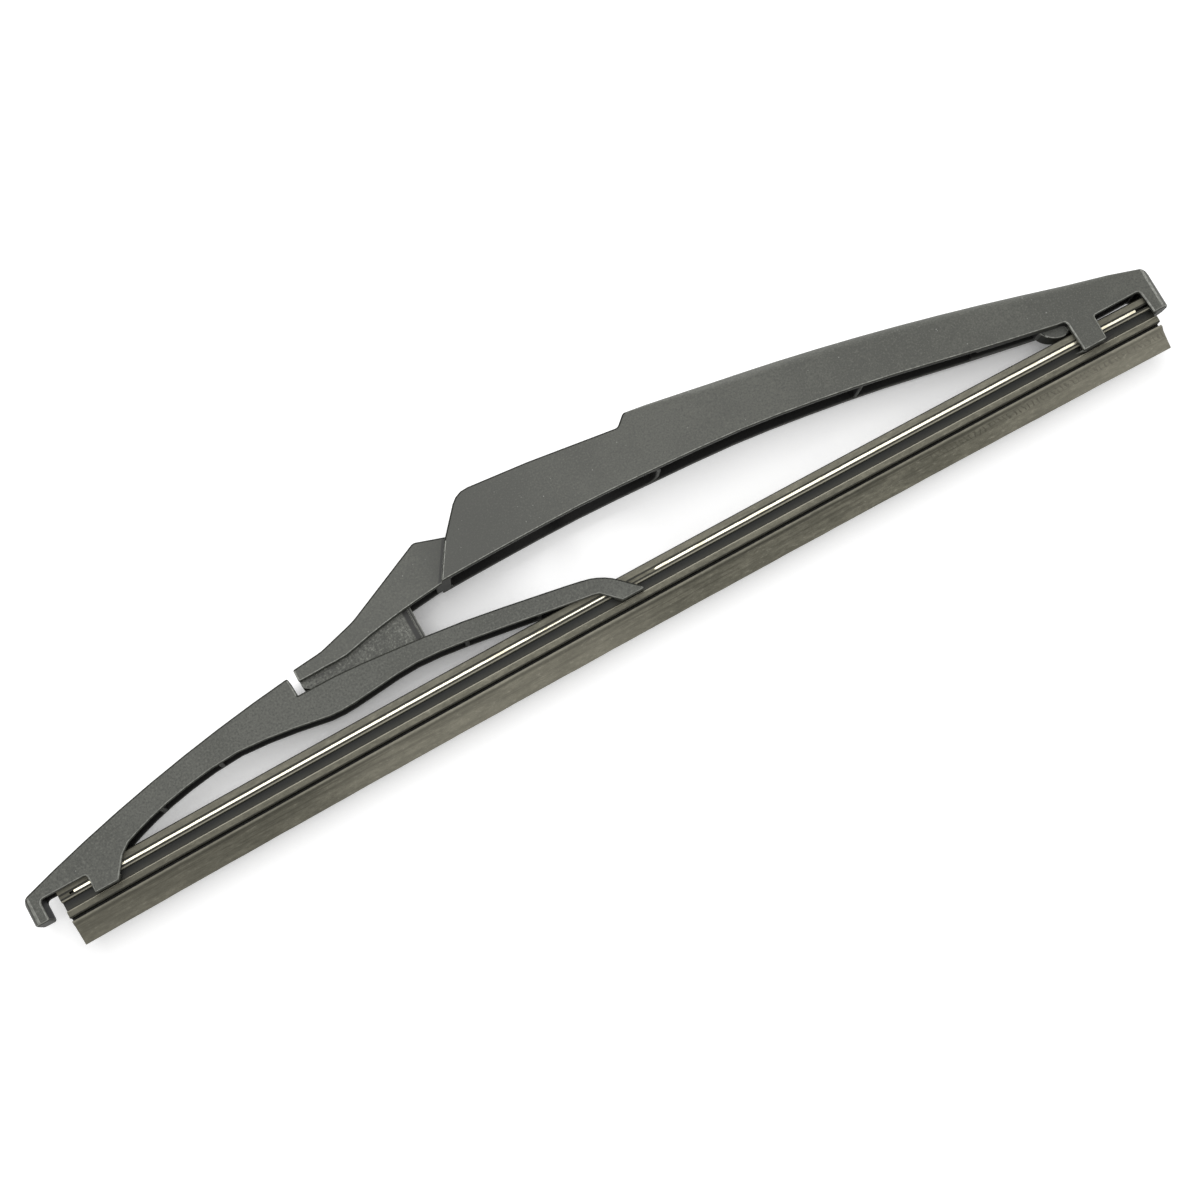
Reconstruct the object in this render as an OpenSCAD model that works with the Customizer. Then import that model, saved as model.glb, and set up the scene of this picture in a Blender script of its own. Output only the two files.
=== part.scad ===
// Rear windscreen wiper blade: a moulded main bridge that takes the wiper arm, a secondary lever
// that rocks on a pivot block under the bridge's leaf, and a wiping rubber with two steel strips
// that three pairs of claws hold.
//
// Frame: +X along the rubber from the lever's end hook to the bridge's end cap, +Y from the glass
// towards the arm, +Z across the blade. The blade lies on its side, and the origin is the centre of
// the moulded pin that the wiper arm clips to. Outlines are drawn in blade coordinates, with x = 0
// at the rubber's left end and y = 0 on the chord of the wiping lip, and in_frame() moves them.

/* [Rubber] */
// Length of the wiping rubber
rubber_length = 305; // [290:1:320]
// Rise of the rubber's gentle arch at its middle
arch_rise = 1.1; // [0.7:0.1:1.6]
// Height of the wiping tip, from the lip to the neck
tip_height = 6.1; // [5.5:0.1:7]
// Height of the thin neck
neck_height = 0.8; // [0.4:0.1:1]
// Height of the flange above the neck
flange_height = 1.8; // [1.4:0.1:2.2]
// Height of the groove that the claws hold
groove_height = 2.3; // [2.1:0.1:2.8]
// Height of rubber between the groove and the steel slots
slot_sill = 0.7; // [0.5:0.1:1]
// Height of the head above the steel slots
head_height = 1.95; // [1.5:0.05:2.4]
// Width of the head
head_width = 6; // [5.6:0.1:6.2]
// Width at the claw groove
groove_width = 3.3; // [2.8:0.1:3.5]
// Width of the flange
flange_width = 5.6; // [5:0.1:6]
// Width of the neck
neck_width = 1; // [0.8:0.1:1.4]
// Width of the tip's shoulder
shoulder_width = 4.8; // [4.2:0.1:5.4]
// Width of the wiping lip at its edge
lip_width = 0.7; // [0.5:0.1:1]

/* [Steel strips] */
// Thickness of each strip, seen from the side
strip_thickness = 0.8; // [0.7:0.05:1]
// Width of each strip, across the blade
strip_width = 1.9; // [1.6:0.1:2]
// Play of a strip in its slot, all round
strip_play = 0.1; // [0.05:0.01:0.12]
// Rubber left closed at the left end of each slot
slot_web = 2.6; // [2:0.1:4]
// Setback of the strips from the slots' closed ends
strip_left_gap = 1.1; // [0.5:0.1:2]
// Setback of the strips from the rubber's right end
strip_right_gap = 4.3; // [3:0.1:6]

/* [Claws] */
// Middle of the left claw, from the rubber's left end
left_claw_x = 11; // [9.5:0.1:13]
// Middle of the middle claw, from the rubber's left end
middle_claw_x = 153; // [148:0.5:158]
// Middle of the right claw, from the rubber's right end
right_claw_inset = 18.5; // [16:0.5:20]
// Length of the outer claws along the rubber
claw_length = 6; // [5:0.1:7]
// Height of the lips that reach into the groove
lip_height = 1.6; // [1.2:0.1:1.8]
// Running clearance between a claw and the rubber
claw_clearance = 0.25; // [0.2:0.05:0.35]

/* [Secondary lever] */
// Width of the lever
lever_width = 9.5; // [9.2:0.1:10.5]
// Width of the lever at its hook and its middle claw
lever_tip_width = 9; // [8.8:0.1:9.2]
// Thickness of the lever's side walls
lever_wall = 1.1; // [0.9:0.1:1.2]
// Thickness of the lever's roof
lever_roof = 1.6; // [1.3:0.1:2]
// How far the end hook reaches past the rubber
hook_reach = 7.8; // [6.5:0.1:9]
// Thickness of the end hook
hook_thickness = 3.7; // [3:0.1:4.5]
// Height of the lever's raised back over the rubber, at the notch
lever_peak = 17.6; // [16.5:0.1:18.5]
// Gap of the notch between the lever's back and the bridge's leaf
notch_gap = 2.1; // [1.6:0.1:2.8]

/* [Pivot] */
// Place of the pivot, from the rubber's left end
pivot_x = 81.5; // [79:0.5:84]
// Height of the pivot over the rubber's top
pivot_height = 9; // [8.6:0.1:9.4]
// Diameter of the trunnions
trunnion_diameter = 3.8; // [3:0.1:4.4]
// Length of each trunnion, from the lever's wall inwards
trunnion_length = 1.5; // [1:0.1:2]
// Radial clearance of the trunnions in the bore
pivot_clearance = 0.05; // [0.03:0.01:0.08]
// Side clearance of the pivot block between the lever's walls
block_side_clearance = 0.15; // [0.1:0.05:0.3]
// Radius of the block's eye round the bore
block_eye_radius = 3.6; // [3.2:0.1:4]
// Length of the block in the leaf's channel
block_length = 31.7; // [29:0.1:33]
// Distance of the block's upright groove from its right end
block_groove_inset = 3.4; // [3:0.1:5]
// Width of the block's upright groove
block_groove_width = 2.5; // [1.5:0.1:2.8]
// Depth of the block's upright groove
block_groove_depth = 0.5; // [0.3:0.1:0.8]

/* [Main bridge] */
// Width of the bridge at the arm pocket
bridge_width = 16.5; // [15.5:0.1:18]
// Width of the bridge at its end cap
cap_width = 10; // [9.6:0.1:10.8]
// Thickness of the bridge's side walls
bridge_wall = 2; // [1.6:0.1:2.2]
// Thickness of the bridge's roof
bridge_roof = 2.1; // [1.7:0.1:2.5]
// Height of the bridge's underside over the rubber, at the arm pocket
bridge_lift = 20.2; // [19.5:0.1:21.5]
// Height of the bridge's side at the arm pocket
pocket_height = 17.2; // [16:0.1:19]
// Height of the step where the arm's cover ends
step_height = 2.6; // [2:0.1:3.2]
// How far the bridge bows over the chord from the step to its end
crest_bow = 3; // [2.4:0.1:3.6]
// Height of the bridge's back over the rubber at its end cap
cap_rise = 7.3; // [7:0.1:8]
// How far the end cap reaches past the rubber
cap_reach = 4; // [3.5:0.1:5]
// Radius of the rocker pad that bears on the rubber beside the right claw
rocker_radius = 5.7; // [5:0.1:6]
// Width of the rocker pad
rocker_width = 5.4; // [4.6:0.1:5.8]
// Height that the rocker pad is cut to, from the rubber up into the bridge's underside
rocker_height = 6; // [5:0.1:7]
// Length of the right claw along the rubber
right_claw_length = 7.2; // [6.4:0.1:8]

/* [Leaf] */
// Width of the leaf
leaf_width = 10.5; // [10:0.1:11.5]
// Height of the leaf's peak over the rubber
leaf_peak = 32.2; // [31:0.1:33]
// Height of the leaf's left end over the rubber
leaf_end_rise = 18.6; // [18:0.1:19.2]
// Thickness of the leaf's roof
leaf_roof = 1.8; // [1.4:0.1:2.2]
// Clearance of the pivot block in the leaf's channel
block_fit = 0.05; // [0.03:0.01:0.1]

/* [Arm pocket] */
// Middle of the arm pin, from the rubber's left end
pin_x = 147; // [144:0.5:150]
// Height of the arm pin over the rubber
pin_rise = 27; // [26:0.1:28]
// Diameter of the arm pin
pin_diameter = 4; // [3.5:0.1:5]
// Length of the pocket, which ends behind the step
pocket_length = 57.4; // [54:0.2:60]
// Width of the window over the pin
window_width = 8.8; // [7:0.1:10]
// Length of the window over the pin
window_length = 34; // [28:0.5:36]

/* [Hidden] */
$fn = 48;

bridge_colour = [0.365, 0.369, 0.345];
lever_colour = [0.392, 0.396, 0.372];
rubber_colour = [0.41, 0.39, 0.34];
steel_colour = [0.86, 0.86, 0.82];

// Sizes that only the cutting shapes use: how far they run past what they cut.
past = 1;
below_blade = -5;
above_blade = 70;

// The rubber's levels, one above the other from the lip at y = 0.
neck_top = tip_height + neck_height;
flange_top = neck_top + flange_height;
groove_top = flange_top + groove_height;
slot_bottom = groove_top + slot_sill;
slot_top = slot_bottom + strip_thickness + 2 * strip_play;
rubber_top = slot_top + head_height;

// The arch is part of a large circle through both ends of the lip.
arch_radius = (pow(rubber_length / 2, 2) + pow(arch_rise, 2)) / (2 * arch_rise);
arch_centre_y = arch_rise - arch_radius;
function arch(x) = sqrt(pow(arch_radius, 2) - pow(x - rubber_length / 2, 2)) + arch_centre_y;
function arch_angle(x) = asin((x - rubber_length / 2) / arch_radius);

// Places along the blade.
right_claw_x = rubber_length - right_claw_inset;
hook_x = -hook_reach;
cap_x = rubber_length + cap_reach;
notch_x = pivot_x - 11.1;
leaf_x = notch_x + notch_gap;
pocket_x1 = pin_x + 26.6;
pocket_x0 = pocket_x1 - pocket_length;
step_x = pin_x + 22.6;
pivot_y = rubber_top + pivot_height;
pin_y = rubber_top + pin_rise;

// Levels that several outlines share.
claw_bottom = flange_top + claw_clearance;
left_claw_foot = claw_bottom + arch(left_claw_x);
middle_claw_foot = claw_bottom + arch(middle_claw_x);
right_claw_foot = claw_bottom + arch(right_claw_x) + 0.15;
wall_foot = rubber_top - 0.8;
lip_half = groove_width / 2 + claw_clearance;
rubber_ceiling = rubber_top + claw_clearance;
block_half = lever_width / 2 - lever_wall - block_side_clearance;

// Small general functions.
function lerp(a, b, t) = a + (b - a) * t;
function ease(t) = t <= 0 ? 0 : t >= 1 ? 1 : t * t * (3 - 2 * t);
function unit(v) = v / norm(v);
function sweep_angle(a, b) = let(d = b - a) d > 180 ? d - 360 : d < -180 ? d + 360 : d;

// How much a rounded end of radius r takes off a side at a distance d from that end.
function end_round(d, r) = d >= r ? 0 : r - sqrt(max(0, r * r - pow(r - d, 2)));

// The points of the arc that rounds corner c, between neighbours p and n, to a radius r.
function corner_arc(p, c, n, r, steps) =
    let(u = unit(p - c), v = unit(n - c), half = acos(max(-1, min(1, u * v))) / 2)
    half > 89 ? [c] :
    let(
        centre = c + unit(u + v) * r / sin(half),
        from = c + u * r / tan(half) - centre,
        to = c + v * r / tan(half) - centre,
        a0 = atan2(from.y, from.x),
        sweep = sweep_angle(a0, atan2(to.y, to.x))
    )
    [for (i = [0:steps]) centre + r * [cos(a0 + sweep * i / steps), sin(a0 + sweep * i / steps)]];

// An open outline of [x, y, radius] corners, with each corner but the first and last rounded.
function rounded(corners, steps = 4) =
    let(n = len(corners), p = [for (c = corners) [c.x, c.y]])
    [for (i = [0:n - 1])
        each (i == 0 || i == n - 1 || corners[i][2] == 0 ? [p[i]]
            : corner_arc(p[i - 1], p[i], p[i + 1], corners[i][2], steps))];

// Points of the arc from a to b that bows to the left of that direction by a rise.
function bow(a, b, rise, steps) =
    let(
        chord = norm(b - a),
        r = (chord * chord / 4 + rise * rise) / (2 * rise),
        along = unit(b - a),
        left = [-along.y, along.x],
        centre = (a + b) / 2 + left * (rise - r),
        half = asin(chord / 2 / r)
    )
    [for (i = [0:steps]) let(t = half * (2 * i / steps - 1)) centre + r * (along * sin(t) + left * cos(t))];

// A smooth curve through points: each span is a cubic that leaves along its neighbours' line.
function spline(p, steps) =
    let(n = len(p))
    [for (i = [0:n - 2], k = [0:steps - 1])
        let(
            t = k / steps,
            m0 = (p[min(i + 1, n - 1)] - p[max(i - 1, 0)]) / (i == 0 ? 1 : 2),
            m1 = (p[min(i + 2, n - 1)] - p[i]) / (i == n - 2 ? 1 : 2)
        )
        p[i] * (2 * t * t * t - 3 * t * t + 1) + m0 * (t * t * t - 2 * t * t + t)
        + p[i + 1] * (3 * t * t - 2 * t * t * t) + m1 * (t * t * t - t * t),
     p[n - 1]];

// The outline moved down by a drop.
function lowered(outline, drop) = [for (p = outline) [p.x, p.y - drop]];

// Extra places near a rounded end at x, towards the inside, so that a plan outline follows the round.
function end_stations(x, r, inwards) = [for (a = [0, 12, 27, 45, 67]) x + inwards * r * (1 - cos(a))];

// An outline's height at any x.
function height_at(outline, x) = lookup(x, outline);

// Places in rising order, without the doubled ones.
function sorted(v) =
    len(v) < 2 ? v :
    let(m = v[floor(len(v) / 2)])
    concat(sorted([for (e = v) if (e < m - 0.02) e]), [m], sorted([for (e = v) if (e > m + 0.02) e]));

// The part of an outline between two places, with a point of its own at each of them.
function cut_outline(outline, x0, x1) = concat(
    [[x0, height_at(outline, x0)]],
    [for (p = outline) if (p.x > x0 + 0.3 && p.x < x1 - 0.3) p],
    [[x1, height_at(outline, x1)]]);

// Places from x0 to x1 at equal steps, with the extra ones of a rounded end.
function places(x0, x1, count, extra = []) =
    sorted(concat([for (i = [0:count]) lerp(x0, x1, i / count)], [for (e = extra) if (e > x0 && e < x1) e]));

// A closed side outline: a top outline from left to right, and straight down to a floor level.
function down_to(outline, floor_y) =
    concat([[outline[0].x, floor_y]], outline, [[outline[len(outline) - 1].x, floor_y]]);
function reversed(v) = [for (i = [len(v) - 1:-1:0]) v[i]];

// An upright prism that bounds a shape in plan: a half width to each side at each of the places.
module in_plan(xs, half_width) {
    one_side = [for (x = xs) [x, half_width(x)]];
    other_side = [for (x = reversed(xs)) [x, -half_width(x)]];
    translate([0, below_blade, 0]) rotate([-90, 0, 0])
        linear_extrude(height = above_blade - below_blade) polygon(concat(one_side, other_side));
}

// A polygon without the doubled points that joined outlines leave.
module outline(points) {
    n = len(points);
    polygon([for (i = [0:n - 1]) if (norm(points[i] - points[(i + n - 1) % n]) > 0.02) points[i]]);
}

// Moves a shape from blade coordinates to the frame at the arm pin.
module in_frame() {
    translate([-pin_x, -pin_y, 0]) children();
}

// Extrudes a side outline across the blade, to both sides of its middle plane.
module across(width) {
    linear_extrude(height = width, center = true) children();
}

// Sweeps a section along the rubber's arch between two places. The section's own x is the height
// over the lip, and its own y is the place across the blade.
module along_arch(x0, x1) {
    translate([rubber_length / 2, arch_centre_y, 0])
        rotate([0, 0, 90 - arch_angle(x1)])
            rotate_extrude(angle = arch_angle(x1) - arch_angle(x0), $fn = 4320)
                translate([arch_radius, 0]) children();
}

// Rubber: the extruded section, with a slot for a steel strip on each side.
module rubber_section() {
    right = [
        [0, lip_width / 2],
        [tip_height - 1.3, shoulder_width / 2 - 0.7],
        [tip_height - 0.7, shoulder_width / 2],
        [tip_height, shoulder_width / 2],
        [tip_height + 0.1, neck_width / 2],
        [neck_top - 0.1, neck_width / 2],
        [neck_top, flange_width / 2],
        [flange_top - 0.3, flange_width / 2],
        [flange_top, flange_width / 2 - 0.3],
        [flange_top, groove_width / 2],
        [groove_top, groove_width / 2],
        [groove_top, head_width / 2 - 0.1],
        [slot_bottom, head_width / 2],
        [rubber_top - 0.3, head_width / 2],
        [rubber_top, head_width / 2 - 0.4]];
    left = [for (p = reversed(right)) [p.x, -p.y]];
    polygon(concat(right, left));
}

module slot_section(side) {
    depth = strip_width + 2 * strip_play;
    translate([slot_bottom, side > 0 ? head_width / 2 - depth : -head_width / 2 - past])
        square([slot_top - slot_bottom, depth + past]);
}

module rubber_strip() {
    color(rubber_colour) in_frame() difference() {
        along_arch(0, rubber_length) rubber_section();
        for (side = [-1, 1])
            along_arch(slot_web, rubber_length + past) slot_section(side);
    }
}

// One steel strip, which lies in the slot on the given side.
module flexor(side) {
    inner = head_width / 2 - strip_play - strip_width;
    color(steel_colour) in_frame()
        along_arch(slot_web + strip_left_gap, rubber_length - strip_right_gap)
            translate([slot_bottom + strip_play, side > 0 ? inner : -inner - strip_width])
                square([strip_thickness, strip_width]);
}

// Secondary lever: outlines of its raised back, its beam and its underside.
lever_tip_rise = 1.1;
beam_rise = 12.75;
lever_bow = 1.9;
lever_back_top = let(
        a = [hook_x, rubber_top + lever_tip_rise],
        b = [notch_x, rubber_top + lever_peak])
    bow(a, b, lever_bow, 8);
lever_beam_top = spline([
    [notch_x - 2, rubber_top + beam_rise],
    [pivot_x - 1, rubber_top + beam_rise],
    [pivot_x + 13, rubber_top + 11.7],
    [lerp(pivot_x, middle_claw_x, 0.45), rubber_top + 9.6],
    [middle_claw_x - 19.5, rubber_top + 6.3],
    [middle_claw_x - 9.5, rubber_top + 4.5],
    [middle_claw_x - 5.5, rubber_top + 3.3],
    [middle_claw_x - 2.3, rubber_top + 1.4],
    [middle_claw_x + 0.7, rubber_top - 1.4],
    [middle_claw_x + 3.1, middle_claw_foot + 1]], 2);
lever_under = spline([
    [left_claw_x + 9, rubber_top + 1.2],
    [left_claw_x + 16, rubber_top + 3.6],
    [lerp(left_claw_x, pivot_x, 0.38), rubber_top + 6.1],
    [lerp(left_claw_x, pivot_x, 0.58), rubber_top + 7.55],
    [lerp(left_claw_x, pivot_x, 0.78), rubber_top + 6.15],
    [pivot_x - 6.5, rubber_top + 4.6],
    [pivot_x, rubber_top + 4.55],
    [pivot_x + 8, rubber_top + 5.3],
    [pivot_x + 18, rubber_top + 5.95],
    [pivot_x + 31, rubber_top + 4.75],
    [middle_claw_x - 19.5, rubber_top + 1.5],
    [middle_claw_x - 8.5, rubber_top - 0.1]], 2);

// The lever's whole side outline: its raised back, notch and beam above, and its hook, claws and
// belly below.
lever_foot = concat(
    rounded([
        [hook_x, rubber_top - past, 0],
        [hook_x, claw_bottom - 0.3, 0.7],
        [hook_x + hook_thickness, claw_bottom - 0.3, 0.6],
        [hook_x + hook_thickness, wall_foot, 1],
        [left_claw_x - claw_length / 2, wall_foot, 0.7],
        [left_claw_x - claw_length / 2, left_claw_foot, 0.3],
        [left_claw_x + claw_length / 2, left_claw_foot, 0.6],
        [left_claw_x + claw_length / 2 + 3.4, wall_foot, 1.5],
        [lever_under[0].x, lever_under[0].y, 0]]),
    lever_under,
    rounded([
        [middle_claw_x - 8.5, rubber_top - 0.1, 0],
        [middle_claw_x - 7, rubber_top - 0.5, 1],
        [middle_claw_x - 2.8, middle_claw_foot, 0.4],
        [middle_claw_x + 3.3, middle_claw_foot, 0.4],
        [middle_claw_x + 3.1, middle_claw_foot + 1, 0]]));
lever_back = rounded(concat(
    [[hook_x, rubber_top - past, 0], [hook_x, lever_back_top[0].y, 2.2]],
    [for (i = [1:len(lever_back_top) - 2]) [lever_back_top[i].x, lever_back_top[i].y, 0]],
    [[notch_x, rubber_top + lever_peak, 0.5], [notch_x + 0.2, rubber_top + beam_rise, 0.3],
     [notch_x + 3, rubber_top + beam_rise, 0]]));
lever_side = concat(lever_back, [for (p = lever_beam_top) if (p.x > notch_x + 4) p], reversed(lever_foot));

lever_width_at = function(x) lerp(lever_tip_width, lever_width,
    min(ease((x - hook_x) / 40), ease((middle_claw_x - x) / 40)));
lever_half = function(x) lever_width_at(x) / 2 - end_round(x - hook_x, 2);
lever_inner_half = function(x) lever_width_at(x) / 2 - lever_wall;

// The hollow of the lever: under its back, under its beam, and open upwards round the pivot block
// and over the middle claw, where the rubber passes between two fingers.
module lever_hollow() {
    open_x0 = notch_x + 1.2;
    open_x1 = pivot_x + 24.6;
    inner = 2 * lever_inner_half(pivot_x);
    fingers = 2 * lever_inner_half(middle_claw_x);
    hook_end = hook_x + hook_thickness;
    back_end = notch_x - lever_roof;
    back = cut_outline(lowered(lever_back_top, lever_roof), hook_end, back_end);
    beam = cut_outline(lowered(lever_beam_top, lever_roof), back_end - 2, middle_claw_x - 3.5);
    intersection() {
        across(2 * lever_width) union() {
            outline(down_to(back, below_blade));
            outline(down_to(beam, below_blade));
        }
        in_plan(places(hook_end, middle_claw_x + 6, 16), lever_inner_half);
    }
    translate([open_x0, below_blade, -inner / 2])
        cube([open_x1 - open_x0, above_blade, inner]);
    translate([middle_claw_x - 4.5, below_blade, -fingers / 2])
        cube([20, above_blade, fingers]);
}

// The lips at a claw, between two places along the blade.
module claw_lips(x0, x1, level, half) {
    for (side = [-1, 1])
        translate([x0, level, side > 0 ? lip_half : -half])
            cube([x1 - x0, lip_height, half - lip_half]);
}

// A thin rib across the channel of a moulding.
module cross_rib(x, half, thickness) {
    translate([x - thickness / 2, below_blade, -half]) cube([thickness, above_blade, 2 * half]);
}

lever_rib = 1.1;
lever_rib_xs = [left_claw_x + 19, left_claw_x + 36, pivot_x + 31, middle_claw_x - 22];

module secondary_lever() {
    color(lever_colour) in_frame() {
        difference() {
            intersection() {
                across(2 * lever_width) outline(lever_side);
                in_plan(places(hook_x, middle_claw_x + 5, 16, end_stations(hook_x, 2, 1)), lever_half);
            }
            difference() {
                lever_hollow();
                for (x = lever_rib_xs)
                    cross_rib(x, lever_width / 2, lever_rib);
            }
        }
        intersection() {
            union() {
                claw_lips(left_claw_x - claw_length / 2 - past, left_claw_x + claw_length / 2 + 1,
                    left_claw_foot, lever_half(left_claw_x) - lever_wall / 2);
                claw_lips(middle_claw_x - 6, middle_claw_x + 5,
                    middle_claw_foot, lever_half(middle_claw_x) - lever_wall / 2);
            }
            across(2 * lever_width) outline(lever_side);
        }
        for (side = [-1, 1])
            translate([pivot_x, pivot_y, side * (lever_width / 2 - lever_wall / 2 - trunnion_length / 2)])
                cylinder(d = trunnion_diameter, h = trunnion_length + lever_wall / 2, center = true);
    }
}

// Leaf: the narrower tail of the bridge that carries the pivot block.
seam_x = pin_x - 33.4;
leaf_top = rounded([
    [leaf_x, rubber_top + leaf_end_rise, 0],
    [leaf_x + 8, rubber_top + leaf_end_rise + 0.8, 14],
    [leaf_x + 18, rubber_top + leaf_end_rise + 3.6, 20],
    [seam_x - 1.3, rubber_top + leaf_peak, 2],
    [seam_x + 14, rubber_top + leaf_peak - 5, 0]], 4);
leaf_under = spline([
    [leaf_x - past, rubber_top + 15.3],
    [leaf_x + 7, rubber_top + 15.5],
    [leaf_x + 13, rubber_top + 15.6],
    [leaf_x + 20, rubber_top + 17.1],
    [leaf_x + 30, rubber_top + 18.7],
    [seam_x, rubber_top + bridge_lift - 0.3]], 2);

// Bridge: the slanted front, the low back under the arm's cover, the step and the long bow.
pocket_top = rubber_top + bridge_lift + pocket_height;
step_foot = [step_x, pocket_top - 4.5];
step_head = [step_x + 2.9, step_foot.y + step_height];
cap_corner = [cap_x, rubber_top + cap_rise - 1.6];
bridge_top = concat(
    rounded([
        [seam_x, rubber_top + bridge_lift - 0.3, 0],
        [seam_x + 5.6, rubber_top + bridge_lift + 8.4, 8],
        [seam_x + 13.5, pocket_top + 0.3, 6],
        [pin_x - 1, pocket_top - 1.45, 60],
        [step_foot.x, step_foot.y, 1.5],
        [step_head.x, step_head.y, 1.2],
        [step_head.x + 6, step_head.y - 0.75, 0]], 3),
    bow([step_head.x + 8, step_head.y - 1.05], cap_corner, crest_bow, 12));
under_end = rubber_top + 3.6;
bridge_under = spline([
    [seam_x, rubber_top + bridge_lift - 0.3],
    [pin_x - 16, rubber_top + bridge_lift],
    [pin_x + 5, rubber_top + bridge_lift],
    [pocket_x1, rubber_top + bridge_lift - 0.9],
    [lerp(pocket_x1, right_claw_x, 0.2), rubber_top + 17.9],
    [lerp(pocket_x1, right_claw_x, 0.38), rubber_top + 15.4],
    [lerp(pocket_x1, right_claw_x, 0.56), rubber_top + 12.1],
    [lerp(pocket_x1, right_claw_x, 0.75), rubber_top + 7.8],
    [right_claw_x - 6, under_end]], 2);

// The bridge's whole side outline, with the end window as a notch between claw and cap.
claw_x0 = right_claw_x - right_claw_length / 2;
claw_x1 = right_claw_x + right_claw_length / 2;
window_top = rubber_top + 1.3;
bridge_foot = concat(
    bridge_under,
    rounded([
        [right_claw_x - 6, under_end, 0],
        [claw_x0, under_end - 0.3, 1.2],
        [claw_x0 + 0.3, right_claw_foot, 0.3],
        [claw_x1 - 0.2, right_claw_foot, 0.3],
        [claw_x1, window_top, 0.5],
        [cap_x - 5.3, window_top, 1.1],
        [cap_x - 4.8, right_claw_foot, 0.4],
        [cap_x, right_claw_foot, 0.4],
        [cap_x, right_claw_foot + 2, 0]]));
bridge_side = concat(
    [for (i = [0:len(bridge_top) - 2]) bridge_top[i]],
    corner_arc(bridge_top[len(bridge_top) - 2], cap_corner, [cap_x, right_claw_foot], 3.2, 4),
    reversed(bridge_foot));

bridge_plan = function(x) lerp(bridge_width / 2, cap_width / 2, ease((x - step_x) / (cap_x - 18 - step_x)));
bridge_half = function(x) bridge_plan(x) - end_round(cap_x - x, 3);
bridge_inner_half = function(x) bridge_plan(x) - bridge_wall;
pocket_half = function(x)
    bridge_plan(x) - bridge_wall - end_round(pocket_x1 - x, 3.5) - end_round(x - pocket_x0, 1.5);
pocket_wall_half = function(x) bridge_plan(x) - bridge_wall / 2 - end_round(pocket_x1 + 1.1 - x, 4.6);

module bridge_solid() {
    intersection() {
        across(bridge_width) outline(bridge_side);
        in_plan(concat([seam_x - 3], places(step_x, cap_x - 0.01, 14, end_stations(cap_x, 3, -1))), bridge_half);
    }
    // The leaf, whose right end is buried in the bridge's slanted front.
    across(leaf_width)
        outline(concat(leaf_top, [[seam_x + 10, rubber_top + bridge_lift + 4], [seam_x + 1, rubber_top + bridge_lift + 0.5]],
            reversed([for (p = leaf_under) if (p.x > leaf_x) p]), [[leaf_x, leaf_under[1].y]]));
}

rib_x = lerp(pocket_x1, right_claw_x, 0.49);
ledge_x = lerp(pocket_x1, right_claw_x, 0.76);

// A part of the bridge's back, lowered to a hollow's roof, from x0 to x1, and closed at the floor.
function roof_between(x0, x1) = down_to(cut_outline(lowered(bridge_top, bridge_roof), x0, x1), below_blade);

module bridge_hollows() {
    // The leaf's channel, which the pivot block fills in part.
    across(2 * (block_half + block_fit))
        outline(down_to(cut_outline(lowered(leaf_top, leaf_roof), leaf_x - past, seam_x - 1.5), below_blade));
    // The arm pocket, with rounded inner corners at its right end.
    intersection() {
        across(bridge_width) outline(roof_between(pocket_x0, pocket_x1));
        in_plan(places(pocket_x0, pocket_x1, 5, concat(end_stations(pocket_x1, 3.5, -1),
            end_stations(pocket_x0, 1.5, 1))), pocket_half);
    }
    // The long channel behind the pocket's curved wall, up to the ledge, with one cross rib.
    difference() {
        intersection() {
            across(bridge_width) outline(roof_between(pocket_x1 - 2.8, ledge_x));
            in_plan(places(pocket_x1 - 3, ledge_x + past, 8), bridge_inner_half);
        }
        in_plan(places(pocket_x1 - 8, pocket_x1 + 1.1, 2, end_stations(pocket_x1 + 1.1, 4.6, -1)),
            pocket_wall_half);
        cross_rib(rib_x, bridge_width / 2, 0.9);
    }
    // The narrow channel between thick walls, up to the rocker pad.
    across(4.4) outline(roof_between(ledge_x - past, right_claw_x - 9.4));
    // The core of the end cap, over its side windows.
    across(cap_width - 2 * bridge_wall) outline(roof_between(claw_x1 + 1.5, cap_x - 6));
    // The channel that the rubber's head runs in, under the right claw and the end cap.
    translate([right_claw_x - 9.5, below_blade, -cap_width / 2 + 1.5])
        cube([rubber_length + 0.5 - right_claw_x + 9.5, window_top - below_blade, cap_width - 3]);
}

module main_bridge() {
    rocker_x = claw_x0 - 1.3;
    color(bridge_colour) in_frame() {
        difference() {
            bridge_solid();
            bridge_hollows();
            // The window through the roof, over the arm pin.
            translate([pin_x + 2, pin_y, 0]) rotate([-90, 0, 0])
                linear_extrude(height = above_blade) {
                    square([window_length - window_width, window_width], center = true);
                    for (side = [-1, 1])
                        translate([side * (window_length - window_width) / 2, 0]) circle(d = window_width);
                }
        }
        // The arm pin, moulded between the pocket's walls.
        translate([pin_x, pin_y, 0])
            cylinder(d = pin_diameter, h = bridge_width - bridge_wall, center = true);
        // The rocker pad, half round at its left, which bears on the rubber's top.
        intersection() {
            translate([rocker_x, rubber_ceiling + arch(rocker_x) + rocker_radius, 0])
                cylinder(r = rocker_radius, h = rocker_width, center = true);
            translate([rocker_x - 2 * rocker_radius, rubber_ceiling, -rocker_width])
                cube([4 * rocker_radius, rocker_height, 2 * rocker_width]);
        }
        // The right claw's lips.
        claw_lips(claw_x0 + 0.4, claw_x1 - 0.3, right_claw_foot, cap_width / 2 - 0.7);
    }
}

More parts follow.
